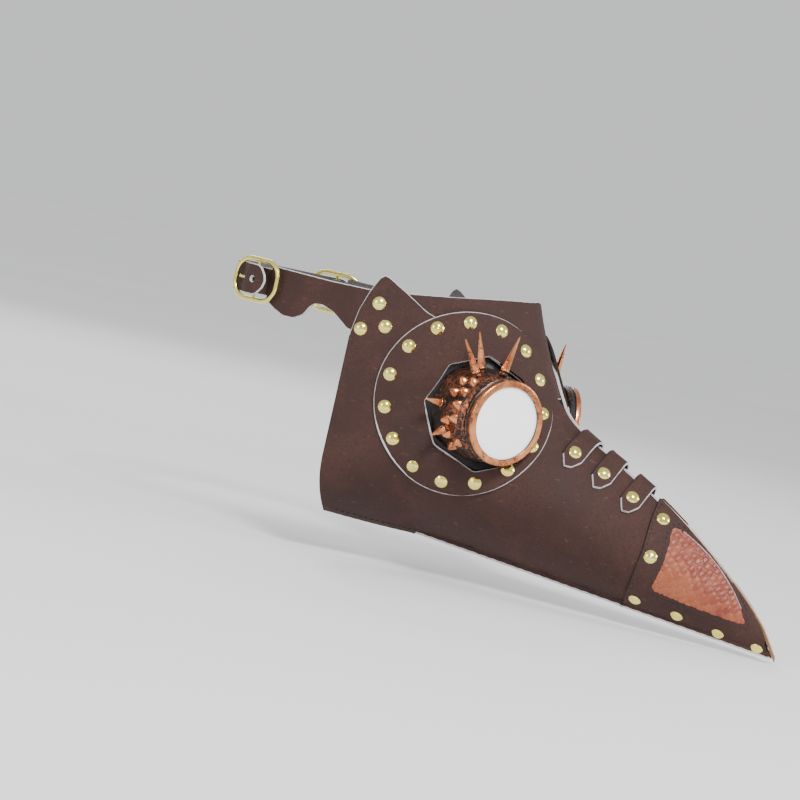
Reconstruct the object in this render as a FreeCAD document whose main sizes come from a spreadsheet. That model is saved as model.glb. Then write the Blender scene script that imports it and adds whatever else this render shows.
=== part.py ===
import FreeCAD, Part
import Sketcher
import math
import os

# Leather plague doctor mask.  +Z up, the beak points along -Y, +X is the wearer's left.
# The origin lies on the mid plane, level with the eyes, in the plane of the cheek
# panels' rear edges.  "forward" below is the distance in front of that plane (-Y).

Vector = FreeCAD.Vector
doc = FreeCAD.newDocument("plague_doctor_mask")
sheet = doc.addObject("Spreadsheet::Sheet", "Sizes")

SIZES = [
    # shape of the folded leather
    ("half_width", 78.0), ("head_depth", 110.0), ("keel_rear", 56.0), ("keel_level", -93.6),
    ("seam_height", 5.0), ("chin_drop", 32.0), ("face_rise", 65.0), ("ridge_gap", 3.0),
    # leather
    ("leather", 1.8), ("layer_step", 2.1), ("inset_leather", 1.0),
    # round patch and its octagonal eye hole
    ("patch_radius", 61.5), ("patch_forward", 85.0), ("patch_level", 6.0),
    ("hole_radius", 38.5), ("hole_squeeze", 0.86), ("ring_radius", 54.0), ("ring_count", 15),
    # rivets
    ("rivet_radius", 4.5), ("rivet_height", 1.9), ("rivet_post", 1.5), ("rivet_foot", 3.6),
    ("rivet_foot_height", 0.8),
    # goggles: place of the bezel's front centre, and turn of the axis from straight ahead
    ("eye_side", 66.5), ("eye_forward", 122.6), ("eye_turn", 36.0), ("eye_dip", 2.0),
    ("bezel_radius", 29.4), ("bezel_groove", 28.2), ("bezel_bore", 26.3), ("bezel_lip", 24.7),
    ("bezel_depth", 9.5), ("bezel_chamfer", 1.5), ("lip_depth", 1.6),
    ("lens_radius", 25.5), ("lens_thick", 2.0), ("lens_dome", 0.9), ("seal_bore", 23.0), ("seal_thick", 1.5), ("neck_radius", 26.0),
    ("neck_bore", 22.5), ("neck_front", 5.5), ("flange_radius", 43.0), ("flange_thick", 2.0),
    ("flange_gap", 2.4), ("sleeve_front", 11.0), ("spike_collar", 3.3),
    ("spike_collar_height", 5.0), ("spike_foot", 2.9), ("spike_tip", 0.35), ("stud_width", 6.5), ("stud_height", 4.0),
    # straps and buckles
    ("strap_width", 21.0), ("strap_level", 55.5), ("strap_leather", 1.8),
    ("buckle_forward", -74.0), ("buckle_turn", 17.0), ("buckle_length", 40.0),
    ("buckle_width", 31.0), ("buckle_bar", 3.1), ("buckle_thick", 2.8), ("buckle_corner", 13.0),
    ("bar_radius", 1.2), ("prong_radius", 1.0), ("prong_reach", 15.0),
]
for row, (alias, value) in enumerate(SIZES, start=1):
    sheet.set("A%d" % row, alias)
    sheet.set("B%d" % row, str(value))
    sheet.setAlias("B%d" % row, alias)
doc.recompute()


def size(alias):
    return float(sheet.get(alias))


# ---------------------------------------------------------------- shape of the mask
# Front profile of the mask on the mid plane: (level, forward), from the beak tip to the brow.
PROFILE = [(-114.5, 322.0), (-93.7, 307.0), (-64.0, 272.6), (-34.9, 230.0), (-11.8, 185.2),
           (0.5, 158.0), (12.0, 142.0), (21.7, 134.4), (66.6, 110.7), (90.0, 101.0)]
FACE_POWER = 0.5        # plan curve at the eyes: round
BEAK_POWER = 0.9        # plan curve at the beak: nearly straight sides
PLAN_POWER = 1.25
BELLY_POWER = 2.2       # roundness of a cheek from the keel up
HEAD_POWER = 3.2        # roundness of the strap line round the head
CAP_FORWARD = 213.0     # where the beak cap begins


def smooth(low, high, value):
    t = min(max((value - low) / (high - low), 0.0), 1.0)
    return t * t * (3 - 2 * t)


def monotone(points, value):
    """Monotone cubic through points sorted by their first coordinate."""
    xs = [p[0] for p in points]
    ys = [p[1] for p in points]
    slopes = [(ys[i + 1] - ys[i]) / (xs[i + 1] - xs[i]) for i in range(len(xs) - 1)]
    tangents = [slopes[0]]
    for a, b in zip(slopes, slopes[1:]):
        tangents.append(2 * a * b / (a + b) if a * b > 0 else 0.0)
    tangents.append(slopes[-1])
    i = 0
    while i < len(xs) - 2 and value > xs[i + 1]:
        i += 1
    width = xs[i + 1] - xs[i]
    t = (value - xs[i]) / width
    return ((1 + 2 * t) * (1 - t) ** 2 * ys[i] + t * (1 - t) ** 2 * width * tangents[i]
            + t * t * (3 - 2 * t) * ys[i + 1] + t * t * (t - 1) * width * tangents[i + 1])


def front(level):
    """Forward distance of the profile at a level."""
    return monotone(PROFILE, level)


def ridge(forward):
    """Level of the profile at a forward distance."""
    return monotone([(f, z) for z, f in reversed(PROFILE)], forward)


def keel(forward):
    """Level of the lower edge: straight from the chin to the tip, flatter behind the chin."""
    slope = 0.0786 if forward > size("keel_rear") else 0.1
    return size("keel_level") - slope * (forward - size("keel_rear"))


def half_width(forward, level):
    """Distance of the leather from the mid plane."""
    if forward < 0:
        reach = min(-forward / size("head_depth"), 1.0)
        return size("half_width") * (1 - reach ** HEAD_POWER) ** (1 / HEAD_POWER)
    reach = min(forward / front(level), 1.0)
    power = BEAK_POWER + (FACE_POWER - BEAK_POWER) * smooth(-30.0, 22.0, level)
    plan = (1 - reach ** PLAN_POWER) ** power
    behind = max(size("keel_rear") - forward, 0.0) / size("keel_rear")
    base = keel(forward) + size("seam_height") - size("chin_drop") * behind ** 0.8
    tall = 0.62 * (ridge(forward) - keel(forward)) if forward > 110 else size("face_rise")
    rise = size("face_rise") + (tall - size("face_rise")) * smooth(110.0, 175.0, forward)
    climb = min(max((level - base) / rise, 0.0), 1.0)
    return size("half_width") * plan * (1 - (1 - climb) ** BELLY_POWER)


def outward(forward, level):
    """Unit normal of the right-hand leather, pointing away from the face."""
    step = 0.05
    slope_f = (half_width(forward + step, level) - half_width(forward - step, level)) / (2 * step)
    slope_z = (half_width(forward, level + step) - half_width(forward, level - step)) / (2 * step)
    slope_f = max(slope_f, -6.0)
    slope_z = max(min(slope_z, 1.2), -3.0)
    return Vector(-1, slope_f, -slope_z).normalize()


def on_leather(forward, level, offset):
    """Point on the right-hand leather, raised along the normal."""
    foot = Vector(-half_width(forward, level), -forward, level)
    return foot + outward(forward, level) * offset


def edge_level(forward, gap):
    """Highest level at which the leather is still `gap` away from the mid plane."""
    low = keel(forward) + 0.6 * (ridge(forward) - keel(forward))
    high = ridge(forward)
    if half_width(forward, low) <= gap:
        return low
    for _ in range(30):
        middle = (low + high) / 2
        if half_width(forward, middle) > gap:
            low = middle
        else:
            high = middle
    return low


def arc_to(forward, level):
    """Length along the leather from the rear edge to `forward`, at one level."""
    steps = 60
    total = 0.0
    for i in range(steps):
        a = forward * i / steps
        b = forward * (i + 1) / steps
        total += math.hypot(b - a, half_width(b, level) - half_width(a, level))
    return total


def unrolled(centre_forward, centre_level, across, up):
    """(forward, level) of a flat pattern's point laid on the leather round a centre."""
    level = centre_level + up
    wanted = arc_to(centre_forward, centre_level) + across
    low = 0.0
    high = front(level) - 0.05
    for _ in range(30):
        middle = (low + high) / 2
        if arc_to(middle, level) < wanted:
            low = middle
        else:
            high = middle
    return low, level


# ---------------------------------------------------------------- solids from the shape
def quad(facets, a, b, c, d):
    """Add a four-sided facet as two triangles."""
    facets.append((a, b, c))
    facets.append((a, c, d))


def closed_solid(points, facets):
    """Solid inside a closed skin of triangles."""
    shell = Part.Shape()
    shell.makeShapeFromMesh((points, facets), 0.001, True)
    solid = Part.makeSolid(shell)
    if solid.Volume < 0:
        solid.reverse()
    return solid


def between(outer_rows, inner_rows):
    """Closed faceted solid between two grids of points of the same size."""
    rows = len(outer_rows)
    columns = len(outer_rows[0])
    points = [p for row in outer_rows for p in row] + [p for row in inner_rows for p in row]
    under = rows * columns
    facets = []
    for i in range(rows - 1):
        for j in range(columns - 1):
            a = i * columns + j
            b = a + columns
            quad(facets, a, b, b + 1, a + 1)
            quad(facets, under + a, under + a + 1, under + b + 1, under + b)
    for i in range(rows - 1):
        a = i * columns
        b = a + columns
        quad(facets, a, under + a, under + b, b)
        a += columns - 1
        b += columns - 1
        quad(facets, a, b, under + b, under + a)
    for j in range(columns - 1):
        quad(facets, j, j + 1, under + j + 1, under + j)
        a = (rows - 1) * columns + j
        quad(facets, a, under + a, under + a + 1, a + 1)
    return closed_solid(points, facets)


def sheet_rows(stations, rows, bottom, top, offset):
    """Points of one leather surface: a column of levels at each forward station."""
    grid = []
    for forward in stations:
        base = bottom(forward)
        tall = top(forward) - base
        levels = [base + tall * j / rows for j in range(rows + 1)]
        grid.append([on_leather(forward, z, offset) for z in levels])
    return grid


def slab(stations, rows, bottom, top, low, high):
    """Leather between two offsets from the shape's surface."""
    return between(sheet_rows(stations, rows, bottom, top, high),
                   sheet_rows(stations, rows, bottom, top, low))


def steps(start, stop, count):
    return [start + (stop - start) * i / count for i in range(count + 1)]


def along(outline, forward):
    """Level of an open outline of (forward, level) points, straight between them."""
    for (f0, z0), (f1, z1) in zip(outline, outline[1:]):
        if forward <= f1:
            return z0 + (z1 - z0) * (forward - f0) / (f1 - f0)
    return outline[-1][1]


def mirrored(shape):
    return shape.mirror(Vector(0, 0, 0), Vector(1, 0, 0))


def add(name, shape):
    feature = doc.addObject("Part::Feature", name)
    feature.Label = name
    feature.Shape = shape
    feature.Placement = FreeCAD.Placement()
    return feature


# ---------------------------------------------------------------- leather pieces
LEATHER = size("leather")
STEP = size("layer_step")
GAP = size("ridge_gap")
SIDES = (("right", -1), ("left", 1))


def goggle_axes(side):
    """Placement with Z along a goggle's axis, Y up and the bezel's front centre at 0."""
    turn = math.radians(size("eye_turn"))
    dip = math.radians(size("eye_dip"))
    axis = Vector(side * math.sin(turn) * math.cos(dip), -math.cos(turn) * math.cos(dip),
                  -math.sin(dip))
    across = Vector(0, 0, 1).cross(axis).normalize()
    up = axis.cross(across)
    place = Vector(side * size("eye_side"), -size("eye_forward"), 0)
    matrix = FreeCAD.Matrix(across.x, up.x, axis.x, place.x,
                            across.y, up.y, axis.y, place.y,
                            across.z, up.z, axis.z, place.z, 0, 0, 0, 1)
    return FreeCAD.Placement(matrix)


def eye_hole(side, shrink=0.0):
    """Octagonal prism along the goggle's axis, a corner towards the temple."""
    points = []
    for i in range(8):
        angle = math.radians(45 * i)
        reach = size("hole_radius") - shrink
        across = (reach * math.cos(angle)) * size("hole_squeeze")
        points.append(Vector(across, reach * math.sin(angle), -62))
    solid = Part.Face(Part.makePolygon(points + points[:1])).extrude(Vector(0, 0, 78))
    solid.Placement = goggle_axes(side)
    return solid


def pair(name, right_shape):
    """One node on the wearer's right and its mirror image on the left."""
    add(name + "_right", right_shape)
    add(name + "_left", mirrored(right_shape))


PANEL_END = 296.0
TAB = [(2.5, 35.0), (5.0, 52.0), (9.5, 66.0), (14.0, 76.0), (17.0, 78.5), (20.5, 77.5),
       (34.0, 69.5), (48.0, 60.5), (60.0, 56.0), (112.0, 47.0), (125.0, 35.0), (134.6, 20.0)]
CAP_LAP = 24.0          # the panels' ridge edges dip this far before the cap begins


def panel_top(forward):
    if forward <= TAB[-1][0]:
        return along(TAB, forward)
    return edge_level(forward, GAP + 1.5 * smooth(CAP_FORWARD, CAP_FORWARD + CAP_LAP, forward))


panel_stations = [2.5, 5.0, 9.5, 14.0, 17.0, 20.5, 27.0, 34.0, 41.0, 48.0]
panel_stations += steps(56.0, 112.0, 8) + steps(118.0, 136.0, 3)
panel_stations += steps(143.0, 213.0, 10) + steps(223.0, PANEL_END, 7)
panel = slab(panel_stations, 18, keel, panel_top, 0.0, LEATHER)
pair("cheek_panel", panel.cut(eye_hole(-1)))

# The brow band: temple straps, forehead and the tongue down the nose, all one piece.
STRAP_END = -66.0
BAND_TOP = [(STRAP_END, 67.5), (-20.0, 66.5), (16.0, 67.0), (60.0, 74.0), (110.0, 84.0)]
BAND_FOOT = [(STRAP_END, 43.5), (-58.0, 39.0), (-50.0, 35.5), (-41.0, 35.5), (-34.0, 39.5),
             (-31.0, 45.0), (-28.0, 48.3), (-22.0, 49.0), (-13.0, 46.0), (0.0, 37.0),
             (22.0, 38.0), (42.0, 50.0), (62.0, 52.0), (112.0, 47.0)]
TONGUE_HALF = 17.0      # half width of the tongue down the nose
TONGUE_TOP = 33.0       # distance from the mid plane at which the tongue meets the brow
TONGUE_END = 21.7       # level of the tongue's cut end
BROW_SIDE = 60.0        # the forehead is laid out by distance from the mid plane up to here


def brow_forward(across, level):
    reach = 1 - (abs(across) / size("half_width")) ** (1 / FACE_POWER)
    return front(level) * reach ** (1 / PLAN_POWER)


def brow_point(across, level, offset):
    """Point on the forehead, by its distance from the mid plane."""
    step = 0.05
    ahead = brow_forward(across + step, level) - brow_forward(across - step, level)
    above = brow_forward(across, level + step) - brow_forward(across, level - step)
    away = Vector(-ahead / (2 * step), -1, -above / (2 * step)).normalize()
    return Vector(across, -brow_forward(across, level), level) + away * offset


def band_rows(offset, rows=6):
    grid = []
    side_stations = [f for f, _ in BAND_FOOT if f <= 22.0] + [32.0, 42.0, 52.0]
    for forward in side_stations:
        foot = along(BAND_FOOT, forward)
        top = along(BAND_TOP, forward)
        levels = steps(foot, top, rows)
        grid.append([on_leather(forward, z, offset) for z in levels])
    right = []
    for across in (-BROW_SIDE, -52.0, -44.0, -TONGUE_TOP, -25.0, -TONGUE_HALF, -10.0, -4.0, 0.0):
        place = brow_forward(across, 50.0)
        foot = TONGUE_END + (47.0 - TONGUE_END) * smooth(TONGUE_HALF, TONGUE_TOP, -across)
        if -across > TONGUE_TOP:
            foot = along(BAND_FOOT, place)
        levels = steps(foot, along(BAND_TOP, place), rows)
        right.append([brow_point(across, z, offset) for z in levels])
    whole = grid + right[1:]
    other = [[Vector(-p.x, p.y, p.z) for p in row] for row in reversed(whole[:-1])]
    return whole + other


add("brow_band", between(band_rows(LEATHER - STEP), band_rows(-STEP)))


# Round patch round each goggle, lapped over the panel and the brow band.
def ring_point(angle, radius):
    return unrolled(size("patch_forward"), size("patch_level"), radius * math.cos(angle),
                    radius * math.sin(angle))


AROUND = 40             # facets round the patch
CORE = 24.0             # the patch is laid out from here and the eye hole then cut
patch_places = []
for i in range(AROUND + 1):
    turn = 2 * math.pi * i / AROUND
    patch_places.append([ring_point(turn, r) for r in steps(CORE, size("patch_radius"), 5)])


def patch_rows(offset):
    return [[on_leather(f, z, offset) for f, z in row] for row in patch_places]


def ring(outer_rows, inner_rows):
    """Closed band of leather whose last column is its first."""
    rows = len(outer_rows) - 1
    columns = len(outer_rows[0])
    points = [p for row in outer_rows[:rows] for p in row]
    points += [p for row in inner_rows[:rows] for p in row]
    under = rows * columns
    facets = []
    for i in range(rows):
        here = i * columns
        there = ((i + 1) % rows) * columns
        for j in range(columns - 1):
            quad(facets, here + j, here + j + 1, there + j + 1, there + j)
            quad(facets, under + here + j, under + there + j, under + there + j + 1,
                 under + here + j + 1)
        quad(facets, here, there, under + there, under + here)
        j = columns - 1
        quad(facets, here + j, under + here + j, under + there + j, there + j)
    return closed_solid(points, facets)


patch = ring(patch_rows(STEP + LEATHER), patch_rows(STEP))
pair("eye_patch", patch.cut(eye_hole(-1)))

# Beak cap with its triangular window, and the scaled inset that fills the window.
CAP_END = 318.5
CAP_EDGE = [(-20.0, 218.5), (-42.6, 219.0), (-63.7, 220.5), (-80.8, 218.0), (-94.4, 213.5),
            (-110.0, 208.5)]
WINDOW_CORNERS = [(234.4, -44.6), (232.6, -86.2), (297.8, -96.2)]
WINDOW_BULGE = 6.5
WINDOW_ROUND = 3.0


def window():
    """Triangle with rounded corners whose front side bows towards the ridge."""
    top, rear, tip = [Vector(-120, -f, z) for f, z in WINDOW_CORNERS]
    line = (tip - top).normalize()
    middle = (top + tip) * 0.5 + Vector(0, line.z, -line.y) * WINDOW_BULGE
    wire = Part.Wire([Part.makeLine(top, rear), Part.makeLine(rear, tip),
                      Part.Arc(tip, middle, top).toShape()])
    solid = Part.Face(wire).extrude(Vector(120, 0, 0))
    upright = [e for e in solid.Edges if abs(e.Vertexes[0].X - e.Vertexes[-1].X) > 1]
    return solid.makeFillet(WINDOW_ROUND, upright)


def cap_top(forward):
    return edge_level(forward, 1.0)


def cap_rows(stations, rows, offset):
    """Like sheet_rows, but the rear edge follows the cap's slanted rear line."""
    grid = []
    for forward in stations:
        share = (CAP_END - forward) / (CAP_END - CAP_FORWARD)
        column = []
        for j in range(rows + 1):
            level = keel(forward) + (cap_top(forward) - keel(forward)) * j / rows
            edge = along([(-z, f) for z, f in CAP_EDGE], -level)
            place = forward + (edge - CAP_FORWARD) * share
            level = keel(place) + (cap_top(place) - keel(place)) * j / rows
            column.append(on_leather(place, level, offset))
        grid.append(column)
    return grid


cap_stations = steps(CAP_FORWARD, CAP_END, 14)
cap = between(cap_rows(cap_stations, 12, STEP + LEATHER), cap_rows(cap_stations, 12, STEP))
inset = between(cap_rows(cap_stations, 12, STEP + size("inset_leather")),
                cap_rows(cap_stations, 12, STEP))
pair("beak_cap", cap.cut(window()))
pair("scale_inset", inset.common(window()))

# Straps across the ridge, each with a pointed shield end on both cheeks.
# Depth of the shield end below the ridge at each place along it: (run, down).
SHIELD = [(-7.6, 14.5), (-1.3, 21.0), (3.5, 19.0), (7.4, 13.0)]
SHIELD_RUNS = (-7.6, -4.5, -1.3, 1.1, 3.5, 5.5, 7.4)
SHIELD_LEAN = 0.2       # how far the shield ends lean forward for each mm of depth
BRIDGE_PLACES = [162.0, 183.5, 206.5]
SADDLE_RISE = 1.2       # how far a strap stands off the crease of the ridge


def shield_point(place, run, down):
    """(forward, level) at `run` along the ridge and `down` square to it, from a place on it."""
    slope = (ridge(place + 4) - ridge(place - 4)) / 8
    length = math.hypot(1, slope)
    ahead = (1 / length, slope / length)
    below = (slope / length, -1 / length)
    return (place + run * ahead[0] + down * below[0],
            ridge(place) + run * ahead[1] + down * below[1])


def bridge_rows(place, offset):
    grid = []
    for run in SHIELD_RUNS:
        deep = along(SHIELD, run)
        right = []
        for down in (deep, 0.75 * deep, 0.5 * deep, 0.3 * deep, GAP):
            spot = shield_point(place, run + SHIELD_LEAN * down, down)
            right.append(on_leather(*spot, offset))
        f, z = shield_point(place, run, -SADDLE_RISE - offset)
        left = [Vector(-p.x, p.y, p.z) for p in reversed(right)]
        grid.append(right + [Vector(0, -f, z)] + left)
    return grid


for number, place in enumerate(BRIDGE_PLACES, start=1):
    add("bridge_strap_%d" % number, between(bridge_rows(place, STEP + LEATHER),
                                            bridge_rows(place, STEP)))

# Tan strip standing between the two cap leaves along the top of the beak.
STRIP_HALF = 1.2
STRIP_DEPTH = 4.0
STRIP_TOP = 1.5         # how far it stands over the ridge line
STRIP_END = 321.5
strip_stops = steps(CAP_FORWARD + 6, STRIP_END, 24)


def strip_outline(lift):
    return [Vector(-STRIP_HALF, -f, ridge(f) + lift) for f in strip_stops]


strip_edge = strip_outline(STRIP_TOP)
strip_edge += list(reversed(strip_outline(STRIP_TOP - STRIP_DEPTH)))
strip = Part.Face(Part.makePolygon(strip_edge + strip_edge[:1]))
add("ridge_strip", strip.extrude(Vector(2 * STRIP_HALF, 0, 0)))


# ---------------------------------------------------------------- rivets
def rivet(forward, level, offset, grip, foot=True):
    """Domed cap on the leather's outer face, post through `grip` of leather, flat foot."""
    radius = size("rivet_radius")
    rise = size("rivet_height")
    ball = (radius ** 2 + rise ** 2) / (2 * rise)
    dome = Part.makeSphere(ball, Vector(0, 0, rise - ball))
    dome = dome.common(Part.makeCylinder(radius, rise + 1, Vector(0, 0, -0.3)))
    solid = dome.fuse(Part.makeCylinder(size("rivet_post"), grip + 0.5, Vector(0, 0, -grip)))
    if foot:
        plate = Part.makeCylinder(size("rivet_foot"), size("rivet_foot_height"),
                                  Vector(0, 0, -grip - size("rivet_foot_height")))
        solid = solid.fuse(plate)
    away = outward(forward, level)
    turn = FreeCAD.Rotation(Vector(0, 0, 1), away)
    solid.Placement = FreeCAD.Placement(on_leather(forward, level, offset), turn)
    return solid


TOP_OF_PATCH = STEP + LEATHER
RING_START = 3.3        # turn of the first rivet, in degrees up from straight ahead
ring_start = math.radians(RING_START)
patch_rivets = []
for i in range(int(size("ring_count"))):
    turn = ring_start + 2 * math.pi * i / size("ring_count")
    forward, level = ring_point(turn, size("ring_radius"))
    through_band = level > along(TAB, forward)
    patch_rivets.append(rivet(forward, level, TOP_OF_PATCH, STEP * 3 if through_band
                              else TOP_OF_PATCH))
pair("patch_rivets", Part.makeCompound(patch_rivets))

TEMPLE_PLACES = [(17.2, 59.0), (9.0, 39.5), (24.5, 44.5)]
pair("temple_rivets", Part.makeCompound([rivet(f, z, LEATHER, TOP_OF_PATCH)
                                         for f, z in TEMPLE_PLACES]))

BRIDGE_RIVET = (1.5, 10.6)      # run along the ridge and depth below it
bridge_rivets = []
for place in BRIDGE_PLACES:
    f, z = shield_point(place, *BRIDGE_RIVET)
    bridge_rivets.append(rivet(f, z, TOP_OF_PATCH, TOP_OF_PATCH))
pair("bridge_rivets", Part.makeCompound(bridge_rivets))

CAP_REAR_PLACES = [(226.2, -41.8), (226.8, -66.7), (220.8, -95.5)]
CAP_KEEL_PLACES = [(251.2, -99.2), (280.8, -104.1), (308.7, -107.9)]
cap_rivets = [rivet(f, z, TOP_OF_PATCH, TOP_OF_PATCH) for f, z in CAP_REAR_PLACES]
cap_rivets += [rivet(f, z, TOP_OF_PATCH, LEATHER, foot=False) for f, z in CAP_KEEL_PLACES]
pair("cap_rivets", Part.makeCompound(cap_rivets))


# ---------------------------------------------------------------- goggles
def value(item, text):
    """Number that a spreadsheet expression gives."""
    return float(item.evalExpression(text))


def turned(name, side, outline):
    """Body made by revolving an outline of (radius, height) expressions about Z."""
    body = doc.addObject("PartDesign::Body", name)
    body.Label = name
    sketch = body.newObject("Sketcher::SketchObject", name + "_outline")
    plane = [f for f in body.Origin.OriginFeatures if f.Role == "XZ_Plane"][0]
    sketch.AttachmentSupport = [(plane, "")]
    sketch.MapMode = "FlatFace"
    corners = [Vector(value(sheet, r), value(sheet, z), 0) for r, z in outline]
    count = len(corners)
    for i in range(count):
        sketch.addGeometry(Part.LineSegment(corners[i], corners[(i + 1) % count]), False)
    for i in range(count):
        sketch.addConstraint(Sketcher.Constraint("Coincident", i, 2, (i + 1) % count, 1))
    for i, (r, z) in enumerate(outline):
        for kind, text, number in (("DistanceX", r, corners[i].x),
                                   ("DistanceY", z, corners[i].y)):
            at = sketch.addConstraint(Sketcher.Constraint(kind, -1, 1, i, 1, number))
            sketch.setExpression("Constraints[%d]" % at, text)
    turn = body.newObject("PartDesign::Revolution", name + "_turn")
    turn.Profile = sketch
    axis = [f for f in body.Origin.OriginFeatures if f.Role == "Z_Axis"][0]
    turn.ReferenceAxis = (axis, [""])
    turn.Angle = 360
    body.Placement = goggle_axes(side)
    return body


S = "Sizes."


def dimension(text):
    """Expression over the sheet's aliases: each word gets the sheet's name."""
    words = []
    for word in text.split():
        words.append(S + word if word[0].isalpha() else word)
    return " ".join(words)


def outline_of(*corners):
    return [(dimension(r), dimension(z)) for r, z in corners]


BEZEL = outline_of(
    ("bezel_lip", "0.0 * bezel_lip"), ("bezel_radius - 1.0", "0.0 * bezel_lip"),
    ("bezel_radius", "-1.0"), ("bezel_radius", "-0.42 * bezel_depth"),
    ("bezel_groove", "-0.5 * bezel_depth"), ("bezel_groove", "-0.7 * bezel_depth"),
    ("bezel_radius", "-0.76 * bezel_depth"),
    ("bezel_radius - bezel_chamfer", "-1.0 * bezel_depth"),
    ("bezel_bore", "-1.0 * bezel_depth"), ("bezel_bore", "-1.0 * lip_depth"),
    ("bezel_lip", "-1.0 * lip_depth"))
SEAL_BACK = "-1.0 * lip_depth - lens_thick - 0.3 - seal_thick"
SEAL_FRONT = "-1.0 * lip_depth - lens_thick - 0.3"
SEAL = outline_of(("seal_bore", SEAL_FRONT), ("lens_radius", SEAL_FRONT),
                  ("lens_radius", SEAL_BACK), ("seal_bore", SEAL_BACK))
TUBE_BACK = "-58.0"     # well inside the cheek, where the tube is trimmed
TUBE = outline_of(("neck_bore", "-1.0 * neck_front"), ("neck_radius", "-1.0 * neck_front"),
                  ("neck_radius", TUBE_BACK), ("neck_bore", TUBE_BACK))
SLEEVE = outline_of(
    ("neck_radius + 0.3", "-1.0 * sleeve_front"), ("neck_radius + 1.6", "-1.0 * sleeve_front"),
    ("neck_radius + 4.0", "-1.0 * sleeve_front - 5.0"),
    ("neck_radius + 5.2", "-1.0 * sleeve_front - 13.0"),
    ("neck_radius + 5.6", "-1.0 * sleeve_front - 36.0"),
    ("neck_radius + 3.6", "-1.0 * sleeve_front - 36.0"),
    ("neck_radius + 3.2", "-1.0 * sleeve_front - 13.0"),
    ("neck_radius + 2.0", "-1.0 * sleeve_front - 5.0"))


BLOCK_REAR = 28.0       # the block round a goggle, clear of every part of it
BLOCK_FRONT = 146.0
BLOCK_FOOT = -60.0
BLOCK_TOP = 66.0
NOSE_FORWARD = 118.0    # ahead of this the block stays under the ridge
TRIM_REACH = 55.0       # height of the block over the leather


def cheek_block(low, high):
    """Thick solid on the right cheek between two offsets, to trim the goggle with."""
    def top(forward):
        return min(BLOCK_TOP, panel_top(forward)) if forward > NOSE_FORWARD else BLOCK_TOP

    return slab(steps(BLOCK_REAR, BLOCK_FRONT, 12), 10, lambda forward: BLOCK_FOOT, top,
                low, high)


def lens(side, name):
    """Domed disc: the common part of a cylinder and a large ball."""
    ball = doc.addObject("Part::Sphere", name + "_ball")
    curve = "(Sizes.lens_radius ^ 2 + Sizes.lens_dome ^ 2) / (2 * Sizes.lens_dome)"
    ball.setExpression("Radius", curve)
    ball.setExpression("Placement.Base.z",
                       "Sizes.lens_dome - Sizes.lip_depth - 0.1 - " + curve)
    disc = doc.addObject("Part::Cylinder", name + "_disc")
    disc.setExpression("Radius", "Sizes.lens_radius")
    disc.setExpression("Height", "Sizes.lens_thick + Sizes.lens_dome")
    disc.setExpression("Placement.Base.z", "0 - Sizes.lip_depth - 0.1 - Sizes.lens_thick")
    both = doc.addObject("Part::Common", name)
    both.Label = name
    both.Base = disc
    both.Tool = ball
    both.Placement = goggle_axes(side)
    return both


# Spikes: (turn of the foot from up towards the temple, distance behind the bezel's front,
# radius of the foot, turn of the spike itself, length).
SPIKES = [(3.0, 17.0, 29.5, -13.0, 29.0), (33.0, 24.0, 30.0, 36.0, 29.0),
          (22.0, 27.0, 30.0, 20.0, 29.0), (86.0, 34.0, 29.5, 86.0, 17.0),
          (114.0, 27.0, 30.0, 122.0, 14.0)]
# Studs: rows of small pyramids on the temple half of the sleeve: (distance behind the
# bezel's front, turns from up towards the temple).
STUD_ROWS = [(19.0, (45, 63, 81, 99, 132)), (27.5, (50, 68, 104, 122, 140))]


def radial(turn, radius, back, lean=None):
    """Placement at a turn round the right goggle's axis, Z pointing outwards."""
    angle = math.radians(turn)
    foot = Vector(-radius * math.sin(angle), radius * math.cos(angle), -back)
    angle = math.radians(turn if lean is None else lean)
    away = Vector(-math.sin(angle), math.cos(angle), 0)
    along_axis = Vector(0, 0, 1)
    sideways = away.cross(along_axis)
    matrix = FreeCAD.Matrix(along_axis.x, sideways.x, away.x, foot.x,
                            along_axis.y, sideways.y, away.y, foot.y,
                            along_axis.z, sideways.z, away.z, foot.z, 0, 0, 0, 1)
    return goggle_axes(-1).multiply(FreeCAD.Placement(matrix))


def sleeve_radius(back):
    """Outer radius of the flared sleeve at a distance behind the bezel's front."""
    front_end = size("sleeve_front")
    neck = size("neck_radius")
    flare = [(front_end, neck + 1.6), (front_end + 5, neck + 4.0), (front_end + 13, neck + 5.2),
             (front_end + 36, neck + 5.6)]
    return along(flare, back)


def spike(turn, back, radius, lean, length):
    collar = size("spike_collar_height")
    solid = Part.makeCylinder(size("spike_collar"), collar)
    solid = solid.fuse(Part.makeCone(size("spike_foot"), size("spike_tip"), length - collar,
                                     Vector(0, 0, collar)))
    solid.Placement = radial(turn, radius, back, lean)
    return solid


def stud(turn, back):
    """Four-sided pyramid whose foot is sunk a little into the sleeve."""
    half = size("stud_width") / 2
    sink = 2.0
    foot = [Vector(x * half, y * half, -sink) for x, y in ((-1, -1), (1, -1), (1, 1), (-1, 1))]
    peak = [p * 0.12 for p in foot]
    peak = [Vector(p.x, p.y, size("stud_height")) for p in peak]
    solid = Part.makeLoft([Part.makePolygon(foot + foot[:1]),
                           Part.makePolygon(peak + peak[:1])], True, True)
    solid.Placement = radial(turn, sleeve_radius(back), back)
    return solid


flange_front = -size("flange_gap")
flange_back = flange_front - size("flange_thick")
sleeve_trim = cheek_block(-size("layer_step"), TRIM_REACH)
flange_trim = cheek_block(flange_back, flange_front)
tube_trim = cheek_block(flange_back, TRIM_REACH)
GOGGLE = {}
for name, outline in (("tube", TUBE), ("sleeve", SLEEVE)):
    body = turned(name, -1, outline)
    doc.recompute()
    GOGGLE[name] = body.Shape.copy()
    body.Visibility = False

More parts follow.
